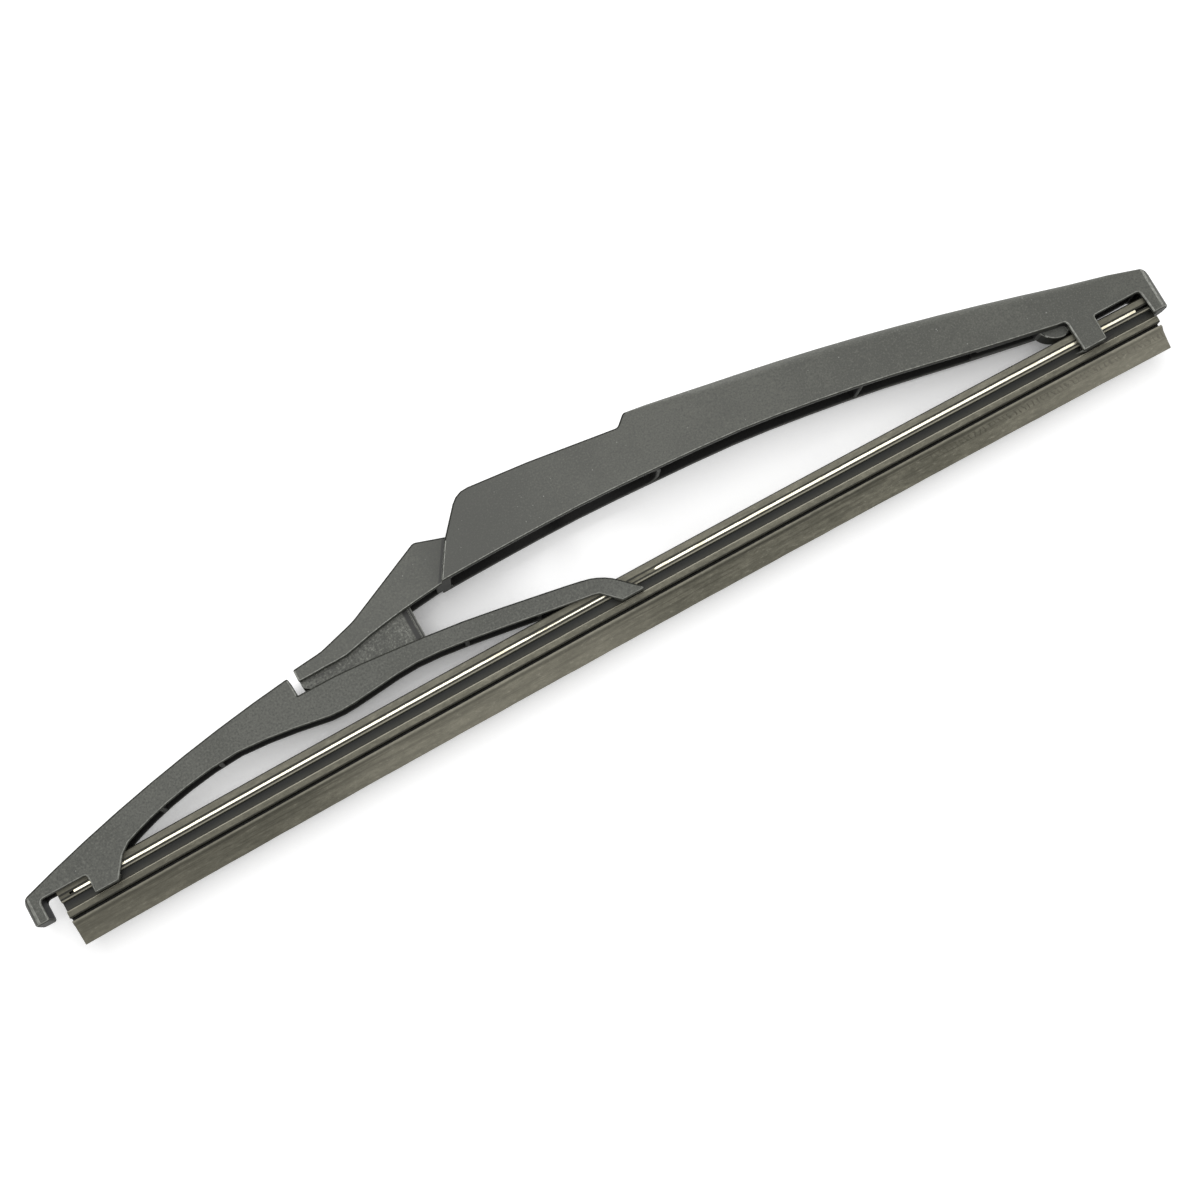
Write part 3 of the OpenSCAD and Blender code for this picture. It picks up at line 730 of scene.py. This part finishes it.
class Mesh:
    """Makes Blender objects from whole arrays of points."""

    @staticmethod
    def ring_faces(rings: int, around: int) -> Array:
        """The four corners of each face between closed rings of points.

        Args:
            rings: how many rings there are.
            around: how many points each ring has.

        Returns:
            One row of four point numbers for each face.
        """
        ring, place = np.meshgrid(np.arange(rings - 1), np.arange(around), indexing="ij")
        beside = (place + 1) % around
        corners = [ring * around + place, ring * around + beside]
        corners += [(ring + 1) * around + beside, (ring + 1) * around + place]
        return np.stack(corners, axis=-1).reshape(-1, 4)

    @staticmethod
    def tube(name: str, points: Array) -> bpy.types.Object:
        """A closed skin through rings of points, with a flat face over each end. Each point keeps its
        place at rest as an attribute.

        Args:
            name: the piece's name.
            points: rings by points by three, in millimetres, each ring a closed loop.

        Returns:
            The object, with smooth faces that point outwards.
        """
        rings, around, _ = points.shape
        faces = Mesh.ring_faces(rings, around).tolist()
        first = list(range(around))
        faces += [first[::-1], [(rings - 1) * around + i for i in first]]
        mesh = bpy.data.meshes.new(name)
        mesh.from_pydata((points.reshape(-1, 3) * MM).tolist(), [], faces)
        Mesh.turn_outwards(mesh)
        rest = mesh.attributes.new(REST_PLACE, "FLOAT_VECTOR", "POINT")
        rest.data.foreach_set("vector", (points * MM).astype(np.float32).ravel())
        return put(name, mesh)

    @staticmethod
    def turn_outwards(mesh: bpy.types.Mesh) -> None:
        """Recalculates a closed mesh's normals so that every face points outwards."""
        with edited(mesh) as work:
            bmesh.ops.recalc_face_normals(work, faces=work.faces)
        mesh.validate()
        mesh.update()

    @staticmethod
    def shade(made: bpy.types.Object, crease_deg: float) -> None:
        """Shades an object smoothly, apart from edges sharper than an angle.

        Args:
            made: the object.
            crease_deg: the angle between faces past which an edge stays sharp.
        """
        made.data.polygons.foreach_set("use_smooth", np.ones(len(made.data.polygons), bool))
        made.data.set_sharp_from_angle(angle=math.radians(crease_deg))

    @staticmethod
    def settle(made: bpy.types.Object, weld: float) -> None:
        """Makes the result of an object's modifiers its own mesh.

        Args:
            made: the object.
            weld: points nearer than this become one, in millimetres.
        """
        graph = bpy.context.evaluated_depsgraph_get()
        mesh = bpy.data.meshes.new_from_object(made.evaluated_get(graph))
        with edited(mesh) as work:
            bmesh.ops.remove_doubles(work, verts=work.verts, dist=weld * MM)
            bmesh.ops.dissolve_degenerate(work, edges=work.edges, dist=weld * MM)
        made.modifiers.clear()
        made.data = mesh

    @staticmethod
    def shade_by_bend(mesh: bpy.types.Mesh, crease_deg: float) -> None:
        """Sets a mesh's normals: each corner of a face takes the mean, by area, of the normals of the
        faces round its point that bend from its own face by less than a limit.

        Args:
            mesh: the mesh.
            crease_deg: the limit.
        """
        mesh.polygons.foreach_set("use_smooth", np.ones(len(mesh.polygons), bool))
        totals = read(mesh.polygons, "loop_total", int)
        areas = read(mesh.polygons, "area")
        normals = read(mesh.polygons, "normal", width=3)
        points = read(mesh.loops, "vertex_index", int)
        face = np.repeat(np.arange(len(totals)), totals)
        order = np.argsort(points, kind="stable")
        point, own = points[order], normals[face[order]]
        share = own * areas[face[order], None]
        summed = share.copy()
        limit = math.cos(math.radians(crease_deg))
        for step in range(1, int(np.bincount(points).max())):
            later, earlier = slice(step, None), slice(None, -step)
            for near, far in ((later, earlier), (earlier, later)):
                joined = point[near] == point[far]
                joined &= np.einsum("ij,ij->i", own[near], own[far]) > limit
                summed[near] += share[far] * joined[:, None]
        summed /= np.maximum(np.linalg.norm(summed, axis=1), 1e-15)[:, None]
        corner = np.empty_like(summed)
        corner[order] = summed
        mesh.normals_split_custom_set(corner.tolist())

    @staticmethod
    def sort_faces(mesh: bpy.types.Mesh, reach: float, start_gap: float = 0.02) -> None:
        """Gives each face of a moulding its kind. A face that looks at its own piece in two or more of
        five directions, straight out and leaning to four sides, lies inside and takes painted shade. A
        face that looks down takes painted shade, and so does a rounded edge that looks up, a ridge.

        Args:
            mesh: the mesh, whose bevelled faces are marked as edges.
            reach: how far the directions are followed, in millimetres.
            start_gap: how far off the face they start.
        """
        hits_inside, down, up = 2, -0.5, 0.15
        points = [point.co for point in mesh.vertices]
        tree = BVHTree.FromPolygons(points, [tuple(face.vertices) for face in mesh.polygons])
        for face in mesh.polygons:
            normal = face.normal.copy()
            side = normal.orthogonal().normalized()
            other = normal.cross(side)
            start = face.center + normal * start_gap * MM
            rays = (normal, normal + side, normal - side, normal + other, normal - other)
            met = sum(tree.ray_cast(start, ray.normalized(), reach * MM)[0] is not None for ray in rays)
            if met >= hits_inside:
                face.material_index = Face.INSIDE.value
            elif normal.y < down:
                face.material_index = Face.SHADED.value
            elif face.material_index == Face.EDGE.value and normal.y > up:
                face.material_index = Face.RIDGE.value

    @staticmethod
    def merged_copy(
        node: str, name: str, weld: float = 0.002, flat_deg: float = 0.25
    ) -> bpy.types.Object:
        """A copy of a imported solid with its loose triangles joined, and flat stretches made one face.

        Args:
            node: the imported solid's name.
            name: the new piece's name.
            weld: points nearer than this become one, in millimetres.
            flat_deg: faces that meet at less than this angle become one.

        Returns:
            The new object, at the origin.
        """
        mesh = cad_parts[node].data.copy()
        mesh.name = name
        mesh.materials.clear()
        flat = math.radians(flat_deg)
        with edited(mesh) as work:
            bmesh.ops.remove_doubles(work, verts=work.verts, dist=weld * MM)
            bmesh.ops.dissolve_limit(work, angle_limit=flat, verts=work.verts, edges=work.edges)
        return put(name, mesh)


@dataclass
class EdgeTable:
    """What is known of each edge of a mesh: its middle, direction, bend and length, in millimetres."""

    middle: Array
    direction: Array
    length: Array
    bend_deg: Array
    convex: Array
    normals: Array

    @classmethod
    def of(cls, mesh: bpy.types.Mesh) -> "EdgeTable":
        """Works the table out from whole arrays: an edge is convex where the cross product of its two
        faces' normals runs along the first face's loop.

        Args:
            mesh: a closed mesh in which each edge has two faces.

        Returns:
            The table, in the order of the mesh's edges.
        """
        points = read(mesh.vertices, "co", width=3) / MM
        ends = read(mesh.edges, "vertices", int, 2)
        loop_edge = read(mesh.loops, "edge_index", int)
        loop_point = read(mesh.loops, "vertex_index", int)
        totals = read(mesh.polygons, "loop_total", int)
        face_normals = read(mesh.polygons, "normal", width=3)
        loop_face = np.repeat(np.arange(len(totals)), totals)
        order = np.argsort(loop_edge, kind="stable")
        first_of = np.searchsorted(loop_edge[order], np.arange(len(ends)))
        last_of = np.searchsorted(loop_edge[order], np.arange(len(ends)), side="right") - 1
        first, second = order[first_of], order[last_of]
        pair = np.stack([face_normals[loop_face[first]], face_normals[loop_face[second]]], axis=1)
        along = points[ends[:, 1]] - points[ends[:, 0]]
        length = np.linalg.norm(along, axis=1)
        forwards = np.where(loop_point[first] == ends[:, 0], 1.0, -1.0)
        turn = np.einsum("ij,ij->i", np.cross(pair[:, 0], pair[:, 1]), along * forwards[:, None])
        cosine = np.einsum("ij,ij->i", pair[:, 0], pair[:, 1])
        bend = np.degrees(np.arccos(np.clip(cosine, -1.0, 1.0)))
        return cls(
            middle=(points[ends[:, 0]] + points[ends[:, 1]]) / 2.0,
            direction=along / np.maximum(length, 1e-9)[:, None],
            length=length,
            bend_deg=bend,
            convex=turn > 0.0,
            normals=pair,
        )


@dataclass
class Moulding:
    """A moulded piece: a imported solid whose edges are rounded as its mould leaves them."""

    node: str
    name: str
    body: str
    slot: str
    plastic: MouldedPlastic
    outer_radius: float = 0.4
    inner_radius: float = 0.15
    crease_deg: float = 32.0
    smooth_deg: float = 36.0
    segments: int = 3
    weld: float = 0.01
    inside_reach: float = 40.0

    def radii(self, edges: EdgeTable) -> Array:
        """The rounding radius of each edge: more on outer edges than on inner ones, none on soft bends.

        Args:
            edges: the piece's edges.

        Returns:
            One radius for each edge, in millimetres.
        """
        radius = np.where(edges.convex, self.outer_radius, self.inner_radius)
        return np.where(edges.bend_deg > self.crease_deg, radius, 0.0)

    def reshape(self, mesh: bpy.types.Mesh, edges: EdgeTable) -> None:
        """A place for a moulding to move its rounded mesh's points; a plain one leaves them."""

    def build(self) -> bpy.types.Object:
        """Copies the solid, rounds its edges and dresses it.

        Returns:
            The finished piece, which rides on its body.
        """
        made = Mesh.merged_copy(self.node, self.name)
        for face in Face:
            made.data.materials.append(self.plastic.make(face))
        edges = EdgeTable.of(made.data)
        radius = self.radii(edges)
        largest = float(radius.max())
        weight = made.data.attributes.new("bevel_weight_edge", "FLOAT", "EDGE")
        weight.data.foreach_set("value", (radius / largest).astype(np.float32))
        bevel = made.modifiers.new("moulded_edges", "BEVEL")
        bevel.limit_method = "WEIGHT"
        bevel.width = largest * MM
        bevel.segments = self.segments
        bevel.use_clamp_overlap = False
        bevel.material = Face.EDGE.value
        Mesh.settle(made, self.weld)
        self.reshape(made.data, edges)
        Mesh.sort_faces(made.data, self.inside_reach)
        Mesh.shade_by_bend(made.data, self.smooth_deg)
        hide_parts(self.node)
        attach(made, self.body)
        return made


@dataclass
class MainBridge(Moulding):
    """The long bridge, whose crest is softly rounded from the step to the end cap."""

    crest_x0: float = 25.5
    crest_x1: float = 52.0
    cap_x0: float = 138.0
    cap_x1: float = 157.0
    crest_radius: float = 2.6
    crest_lowest: float = -24.0
    crest_narrowest: float = 4.0
    facing: float = 0.6
    near_share: float = 1.1
    grown_from: float = 1.02

    def reshape(self, mesh: bpy.types.Mesh, edges: EdgeTable) -> None:
        """Widens the crest's small rounding: a point near the crest's edge moves from P + d to P + s d,
        where P is the nearest place on the edge, and s grows from 1 at the step, and falls back to 1
        towards the end cap.

        Args:
            mesh: the bridge's rounded mesh.
            edges: the sharp solid's edges.
        """
        sharp = edges.convex & (edges.bend_deg > self.crease_deg)
        faces_up = edges.normals[:, :, Axis.HEIGHT.value].max(axis=1) > self.facing
        faces_out = np.abs(edges.normals[:, :, Axis.ACROSS.value]).max(axis=1) > self.facing
        x, y, z = edges.middle.T
        high = (x > self.crest_x0) & (y > self.crest_lowest)
        crest = sharp & faces_up & faces_out & high & (np.abs(z) > self.crest_narrowest)
        half = edges.direction[crest] * edges.length[crest, None] / 2.0
        start, along = edges.middle[crest] - half, 2.0 * half
        points = read(mesh.vertices, "co", width=3) / MM
        offset = points[:, None, :] - start[None, :, :]
        share = np.einsum("pei,ei->pe", offset, along) / np.einsum("ei,ei->e", along, along)
        foot = start[None] + np.clip(share, 0.0, 1.0)[..., None] * along[None]
        distance = np.linalg.norm(points[:, None, :] - foot, axis=-1)
        nearest = distance.argmin(axis=1)
        place = foot[np.arange(len(points)), nearest]
        close = distance.min(axis=1) < self.outer_radius * self.near_share
        px = place[:, Axis.LENGTH.value]
        grown = hump(px, self.crest_x0, self.crest_x1, self.cap_x0, self.cap_x1)
        scale = 1.0 + (self.crest_radius / self.outer_radius - 1.0) * grown * close
        points = place + (points - place) * scale[:, None]
        mesh.vertices.foreach_set("co", (points * MM).ravel())
        mesh.update()
        grown_points = scale > self.grown_from
        for face in mesh.polygons:
            if grown_points[list(face.vertices)].any():
                face.material_index = Face.SHOWN.value


@dataclass
class Arch:
    """The gentle arch that the rubber and its strips follow: a large circle through the lip's ends."""

    length: float = 305.0
    rise: float = 1.1
    left_x: float = -147.0
    lip_y: float = -41.65

    def sweep(self, along: Array, height: Array, across: Array) -> Array:
        """Places points by how far along the arch, how high over the lip and how far across they are:
        x = left + L/2 + (R + h) sin(a), y = lip + rise - R + (R + h) cos(a), with R sin(a) = along - L/2.

        Args:
            along: places from the left end of the lip, in millimetres.
            height: heights over the lip.
            across: distances from the middle plane.

        Returns:
            The points, with three numbers on the last axis.
        """
        radius = (self.length**2 / 4.0 + self.rise**2) / (2.0 * self.rise)
        angle = np.arcsin((along - self.length / 2.0) / radius)
        x = self.left_x + self.length / 2.0 + (radius + height) * np.sin(angle)
        y = self.lip_y + self.rise - radius + (radius + height) * np.cos(angle)
        return np.stack(np.broadcast_arrays(x, y, across), axis=-1)


def rounded_loop(corners: Array, radii: Array, steps: int) -> Array:
    """Rounds the corners of a closed outline, each by the curve (1-t)^2 A + 2t(1-t) C + t^2 B, where A
    and B lie on the corner's two sides at the corner's radius from C.

    Args:
        corners: stations by corners by two.
        radii: one radius for each corner.
        steps: points for each corner.

    Returns:
        Stations by corners times steps by two.
    """
    before, after = np.roll(corners, 1, axis=-2), np.roll(corners, -1, axis=-2)
    ends = []
    for other in (before, after):
        side = other - corners
        length = np.linalg.norm(side, axis=-1, keepdims=True)
        reach = np.minimum(radii[..., None], length * 0.45)
        ends.append(corners + side / np.maximum(length, 1e-6) * reach)
    t = np.linspace(0.0, 1.0, steps)[:, None]
    first, middle, last = ends[0][..., None, :], corners[..., None, :], ends[1][..., None, :]
    curve = (1.0 - t) ** 2 * first + 2.0 * t * (1.0 - t) * middle + t**2 * last
    return curve.reshape(*corners.shape[:-2], -1, 2)


@dataclass
class RubberStrip:
    """The extruded wiping rubber: tip, neck, flange, claw groove, and a head with a slot on each side."""

    arch: Arch
    node: str = "rubber_strip"
    name: str = "rubber_skin"
    tip_height: float = 6.1
    neck_top: float = 6.9
    flange_top: float = 8.7
    groove_top: float = 11.0
    slot_bottom: float = 11.7
    slot_top: float = 12.7
    rubber_top: float = 14.65
    lip_half: float = 0.35
    shoulder_half: float = 2.4
    neck_half: float = 0.5
    flange_half: float = 2.8
    groove_half: float = 1.65
    head_half: float = 3.0
    slot_depth: float = 2.1
    slot_web: float = 2.6
    stations: int = 530
    bend_start: float = 9.0
    bend_end: float = 142.0
    upper_cover: float = 0.22
    lower_cover: float = 0.13
    cover_waver: float = 0.03
    lip_thickness: float = 0.06
    grown_x0: float = 110.0
    grown_x1: float = 215.0
    grown_lower: float = 0.03
    grown_upper: float = 0.08
    worn_x: tuple[float, ...] = (124.0, 128.0, 146.0, 149.0)
    worn_lower: float = 0.1
    worn_upper: float = 0.15
    torn_x: tuple[float, ...] = (148.0, 149.0, 160.8, 161.4)
    torn_cover: float = 0.3
    lip_waver: float = 0.16
    lip_lift: float = 0.05
    free_length: float = 20.0
    waves: tuple[float, ...] = (41.0, 23.0, 13.0, 7.0)
    corner_steps: int = 4
    crease_deg: float = 40.0

    def covers(self, along: Array) -> tuple[Array, Array]:
        """How far the slot's two thin lips reach over the strip's face: a little more towards the left
        end, more where the rubber is worn, and all the way where it is torn.

        Args:
            along: places along the rubber, in millimetres.

        Returns:
            The lower and the upper lip's reach at each place.
        """
        worn = hump(along, *self.worn_x)
        torn = self.torn_cover * hump(along, *self.torn_x)
        rough = self.cover_waver * waver(along, (9.0, 4.0, 1.7), 3)
        grown = smooth_step(along, self.grown_x1, self.grown_x0)
        lower = self.lower_cover + rough + self.grown_lower * grown + self.worn_lower * worn + torn
        upper = self.upper_cover - rough + self.grown_upper * grown + self.worn_upper * worn + torn
        return lower, upper

    def half_section(self, along: Array) -> tuple[Array, Array]:
        """The front half of the section as heights and distances, from the lip up to the head.

        Args:
            along: places along the rubber, in millimetres.

        Returns:
            Corners, as stations by corners by two, and the corners' radii.
        """
        depth = np.where(along > self.slot_web, self.slot_depth, 0.02)
        lip = np.minimum(self.lip_thickness, depth * 0.5)
        lower, upper = self.covers(along)
        face = self.head_half
        table = [
            (0.0, self.lip_half, 0.06),
            (2.6, 0.99, 1.0),
            (self.tip_height - 1.3, self.shoulder_half - 0.7, 0.25),
            (self.tip_height - 0.7, self.shoulder_half, 0.25),
            (self.tip_height, self.shoulder_half, 0.12),
            (self.tip_height + 0.1, self.neck_half, 0.1),
            (self.neck_top - 0.1, self.neck_half, 0.1),
            (self.neck_top, self.flange_half, 0.12),
            (self.flange_top - 0.3, self.flange_half, 0.15),
            (self.flange_top, self.flange_half - 0.3, 0.15),
            (self.flange_top, self.groove_half, 0.25),
            (self.groove_top, self.groove_half, 0.25),
            (self.groove_top, face - 0.1, 0.12),
            (self.slot_bottom + lower, face, 0.02),
            (self.slot_bottom + lower, face - lip, 0.02),
            (self.slot_bottom, face - lip * 1.3, 0.02),
            (self.slot_bottom, face - depth, 0.05),
            (self.slot_top, face - depth, 0.05),
            (self.slot_top, face - lip * 1.3, 0.02),
            (self.slot_top - upper, face - lip, 0.02),
            (self.slot_top - upper, face, 0.02),
            (self.rubber_top - 0.3, face, 0.2),
            (self.rubber_top, face - 0.4, 0.2),
        ]
        corners = np.empty((len(along), len(table), 2))
        for column, (height, across, _) in enumerate(table):
            corners[:, column, 0] = height
            corners[:, column, 1] = across
        return corners, np.array([radius for _, _, radius in table])

    def build(self) -> bpy.types.Object:
        """Sweeps the section along the arch, with the small unevenness of soft rubber, and dresses it.

        Returns:
            The rubber.
        """
        web = self.slot_web
        along = np.linspace(0.0, self.arch.length, self.stations)
        along = np.sort(np.concatenate([along, [web - 0.02, web + 0.02]]))
        front, radii = self.half_section(along)
        back = front[:, ::-1].copy()
        back[..., 1] *= -1.0
        corners, both = np.concatenate([front, back], axis=1), np.concatenate([radii, radii[::-1]])
        loop = rounded_loop(corners, both, self.corner_steps)
        height, across = loop[..., 0], loop[..., 1]
        station = along[:, None]
        near_lip = smooth_step(height, self.tip_height - 1.5, 0.0)
        full_length = self.arch.length
        free = hump(station, 0.0, self.free_length, full_length - self.free_length, full_length)
        across = across + near_lip * self.lip_waver * free * waver(station, self.waves, 5)
        height = height + near_lip * self.lip_lift * free * (1.0 + waver(station, self.waves, 8))
        points = self.arch.sweep(station, height, across)
        made = Mesh.tube(self.name, points)
        Mesh.shade(made, self.crease_deg)
        rubber = WiperRubber(
            arch_rise=self.arch.rise,
            half_length=self.arch.length / 2.0,
            middle_x=self.arch.left_x + self.arch.length / 2.0,
            lip_y=self.arch.lip_y,
        )
        made.data.materials.append(rubber.make())
        return bend_with_blade(made, self.node)


def bend_with_blade(
    made: bpy.types.Object, node: str
) -> bpy.types.Object:
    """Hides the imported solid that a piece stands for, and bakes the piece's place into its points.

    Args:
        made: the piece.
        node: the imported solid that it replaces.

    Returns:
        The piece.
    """
    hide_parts(node)
    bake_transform(made)
    return made


@dataclass
class SteelStrip:
    """One flat spring-steel strip that lies in the rubber's slot, with lightly rounded edges."""

    arch: Arch
    flank: Flank
    bottom: float = 11.8
    top: float = 12.6
    inner: float = 1.0
    outer: float = 2.9
    left_end: float = 3.7
    right_end: float = 300.7
    edge: float = 0.12
    corner_steps: int = 4
    crease_deg: float = 40.0
    stations: int = 500
    bend_start: float = 9.0
    bend_end: float = 142.0

    def build(self) -> bpy.types.Object:
        """Sweeps the strip's section along the arch and dresses it.

        Returns:
            The strip.
        """
        side = self.flank.name.lower()
        along = np.linspace(self.left_end, self.right_end, self.stations)
        corners = np.array(
            [
                (self.bottom, self.inner),
                (self.bottom, self.outer),
                (self.top, self.outer),
                (self.top, self.inner),
            ]
        )
        corners = np.repeat(corners[None], len(along), axis=0)
        loop = rounded_loop(corners, np.full(4, self.edge), self.corner_steps)
        across = loop[..., 1] * self.flank.value
        made = Mesh.tube("strip_" + side, self.arch.sweep(along[:, None], loop[..., 0], across))
        Mesh.shade(made, self.crease_deg)
        made.data.materials.append(RolledSteel().make())
        return bend_with_blade(made, "flexor_" + side)


@dataclass(frozen=True)
class Lamp:
    """A square soft lamp that faces the blade: its place and size in metres, and its power in watts."""

    name: str
    place: Place
    size: float
    watts: float

    def build(self) -> None:
        """Hangs the lamp."""
        data = bpy.data.lights.new(self.name, "AREA")
        data.shape = "SQUARE"
        data.size = self.size
        data.energy = self.watts
        made = put(self.name, data)
        made.location = Vector(self.place)
        made.rotation_mode = "QUATERNION"
        made.rotation_quaternion = (-made.location).to_track_quat("-Z", "Y")


@dataclass
class Studio:
    """A white table under soft light, with painted shade in its glow in the nook between the lever and
    the rubber, and the camera at the photograph's angle."""

    table_z: float = -8.25
    table_half: float = 1200.0
    table_colour: Colour = (0.86, 0.86, 0.86)
    table_glow: float = 0.46
    nook_reach: float = 26.0
    nook_shade: float = 0.85
    nook_open: float = 0.52
    nook_closed: float = 0.2
    sky: float = 0.42
    lamps: tuple[Lamp, ...] = (
        Lamp("overhead", (0.0, 0.28, 1.35), 1.3, 9.6),
        Lamp("from_above_the_crest", (0.15, 1.25, 0.5), 0.7, 11.0),
    )
    eye: Place = (-63.82, -89.06, 481.73)
    target: Place = (-1.08, -28.32, 0.0)
    roll_deg: float = 16.835
    lens: float = 60.0

    def table(self) -> None:
        """A wide pale table that keeps the blade's shadow. It glows for the camera, and less where the
        blade closes it in, which is painted shade."""
        h = self.table_half
        corners = np.array([(-h, -h), (h, -h), (h, h), (-h, h)])
        points = np.column_stack([corners, np.full(4, self.table_z)]) * MM
        mesh = bpy.data.meshes.new("table")
        mesh.from_pydata(points.tolist(), [], [(0, 1, 2, 3)])
        made = put("table", mesh)
        g = Graph("white_table")
        fleck = g.noise(g.place(), 0.02, 2.0)
        grey = scaled(self.table_colour, 0.985)
        tone = g.mix(fleck, self.table_colour, grey)
        reach = {"Distance": self.nook_reach * MM}
        # painted shade: the glow is dimmed where ambient occlusion finds the blade close round the table
        openness = g.node("ShaderNodeAmbientOcclusion", {"samples": 8}, reach, "AO")
        painted_nook_shade = openness.rise(self.nook_open, self.nook_closed)
        glow = g.seen_white() * (1.0 - painted_nook_shade * self.nook_shade) * self.table_glow
        made.data.materials.append(
            g.finish(
                Base_Color=tone,
                Roughness=0.9,
                Specular_IOR_Level=0.0,
                Emission_Color=g.mix(glow, BLACK, WHITE),
                Emission_Strength=1.0,
            )
        )

    def light(self) -> None:
        """Sets an even sky, which looks white and lights less, and hangs the lamps."""
        world = bpy.data.worlds.new("studio")
        bpy.context.scene.world = world
        world.use_nodes = True
        g = Nodes(world.node_tree)
        felt, seen = (
            g.node("ShaderNodeBackground", {}, {"Color": WHITE, "Strength": strength})
            for strength in (self.sky, 1.0)
        )
        either = g.node("ShaderNodeMixShader", {}, {0: g.seen_white(), 1: felt, 2: seen})
        g.add("ShaderNodeOutputWorld", {}, {"Surface": either})
        for lamp in self.lamps:
            lamp.build()

    def camera(self) -> None:
        """Sets the camera, which looks from eye to target, turned about its own axis by the roll."""
        data = bpy.data.cameras.new("camera")
        data.sensor_width = 36.0
        data.lens = self.lens
        data.clip_start, data.clip_end = 0.01, 20.0
        made = put("camera", data)
        eye, target = Vector(self.eye) * MM, Vector(self.target) * MM
        forward = (target - eye).normalized()
        level = forward.cross(Vector((0.0, 0.0, 1.0))).normalized()
        upright = level.cross(forward)
        roll = math.radians(self.roll_deg)
        right = level * math.cos(roll) + upright * math.sin(roll)
        up = right.cross(forward)
        turn = Matrix((right, up, -forward)).transposed()
        made.matrix_world = Matrix.Translation(eye) @ turn.to_4x4()
        bpy.context.scene.camera = made

    def build(self) -> None:
        """Sets the table, the light and the camera."""
        self.table()
        self.light()
        self.camera()
        bpy.context.scene.view_settings.view_transform = "Standard"


def report(made: bpy.types.Object) -> None:
    """Logs a finished piece's name and its count of faces."""
    log.info("%s: %d faces", made.name, len(made.data.polygons))


def main() -> None:
    """Builds the scene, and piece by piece."""
    logging.basicConfig(level=logging.INFO, format="%(name)s: %(message)s")
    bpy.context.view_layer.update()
    Studio().build()
    bridge_plastic = MouldedPlastic(
        name="bridge_plastic",
        colour=paint(66, 67, 61),
        blotch=paint(82, 83, 76),
        grain_per_mm=2.2,
        grain_depth=0.015,
        grain_contrast=0.2,
        roughness=0.48,
        edge=paint(152, 153, 146),
        # painted shade on the bridge's flank towards its left part
        shaded_stretch=ShadedStretch(start=10.0, full=-24.0, ebbs=-32.0, end=-38.0),
        dust_share=0.2,
        # painted shadow on the leaf beside the bridge's slanted front
        shadow_line=ShadowLine(x=-33.4, y=-7.1, lean=math.atan2(5.6, 8.7), width=0.7, depth=0.75),
    )
    lever_plastic = MouldedPlastic(
        name="lever_plastic",
        colour=paint(72, 73, 67),
        blotch=paint(86, 87, 81),
        grain_per_mm=1.9,
        grain_depth=0.035,
        grain_contrast=0.34,
        roughness=0.56,
        edge=paint(138, 139, 132),
        dust_spacing=2.2,
    )
    block_plastic = replace(
        lever_plastic,
        name="block_plastic",
        blotch=paint(118, 119, 112),
        # painted shade in a band across the pivot block
        shadow_line=ShadowLine(x=-43.2, y=0.0, lean=0.0, width=1.6, depth=0.97),
    )
    arch = Arch()
    pieces = [
        MainBridge("main_bridge", "bridge_skin", "bridge", "bridge_plastic", bridge_plastic),
        Moulding(
            "pivot_block", "pivot_block_skin", "bridge", "lever_plastic", block_plastic, outer_radius=0.2
        ),
        Moulding("secondary_lever", "lever_skin", "lever", "lever_plastic", lever_plastic),
        RubberStrip(arch),
        SteelStrip(arch, Flank.FRONT),
        SteelStrip(arch, Flank.BACK),
    ]
    for piece in pieces:
        report(piece.build())


if __name__ == "__main__":
    main()
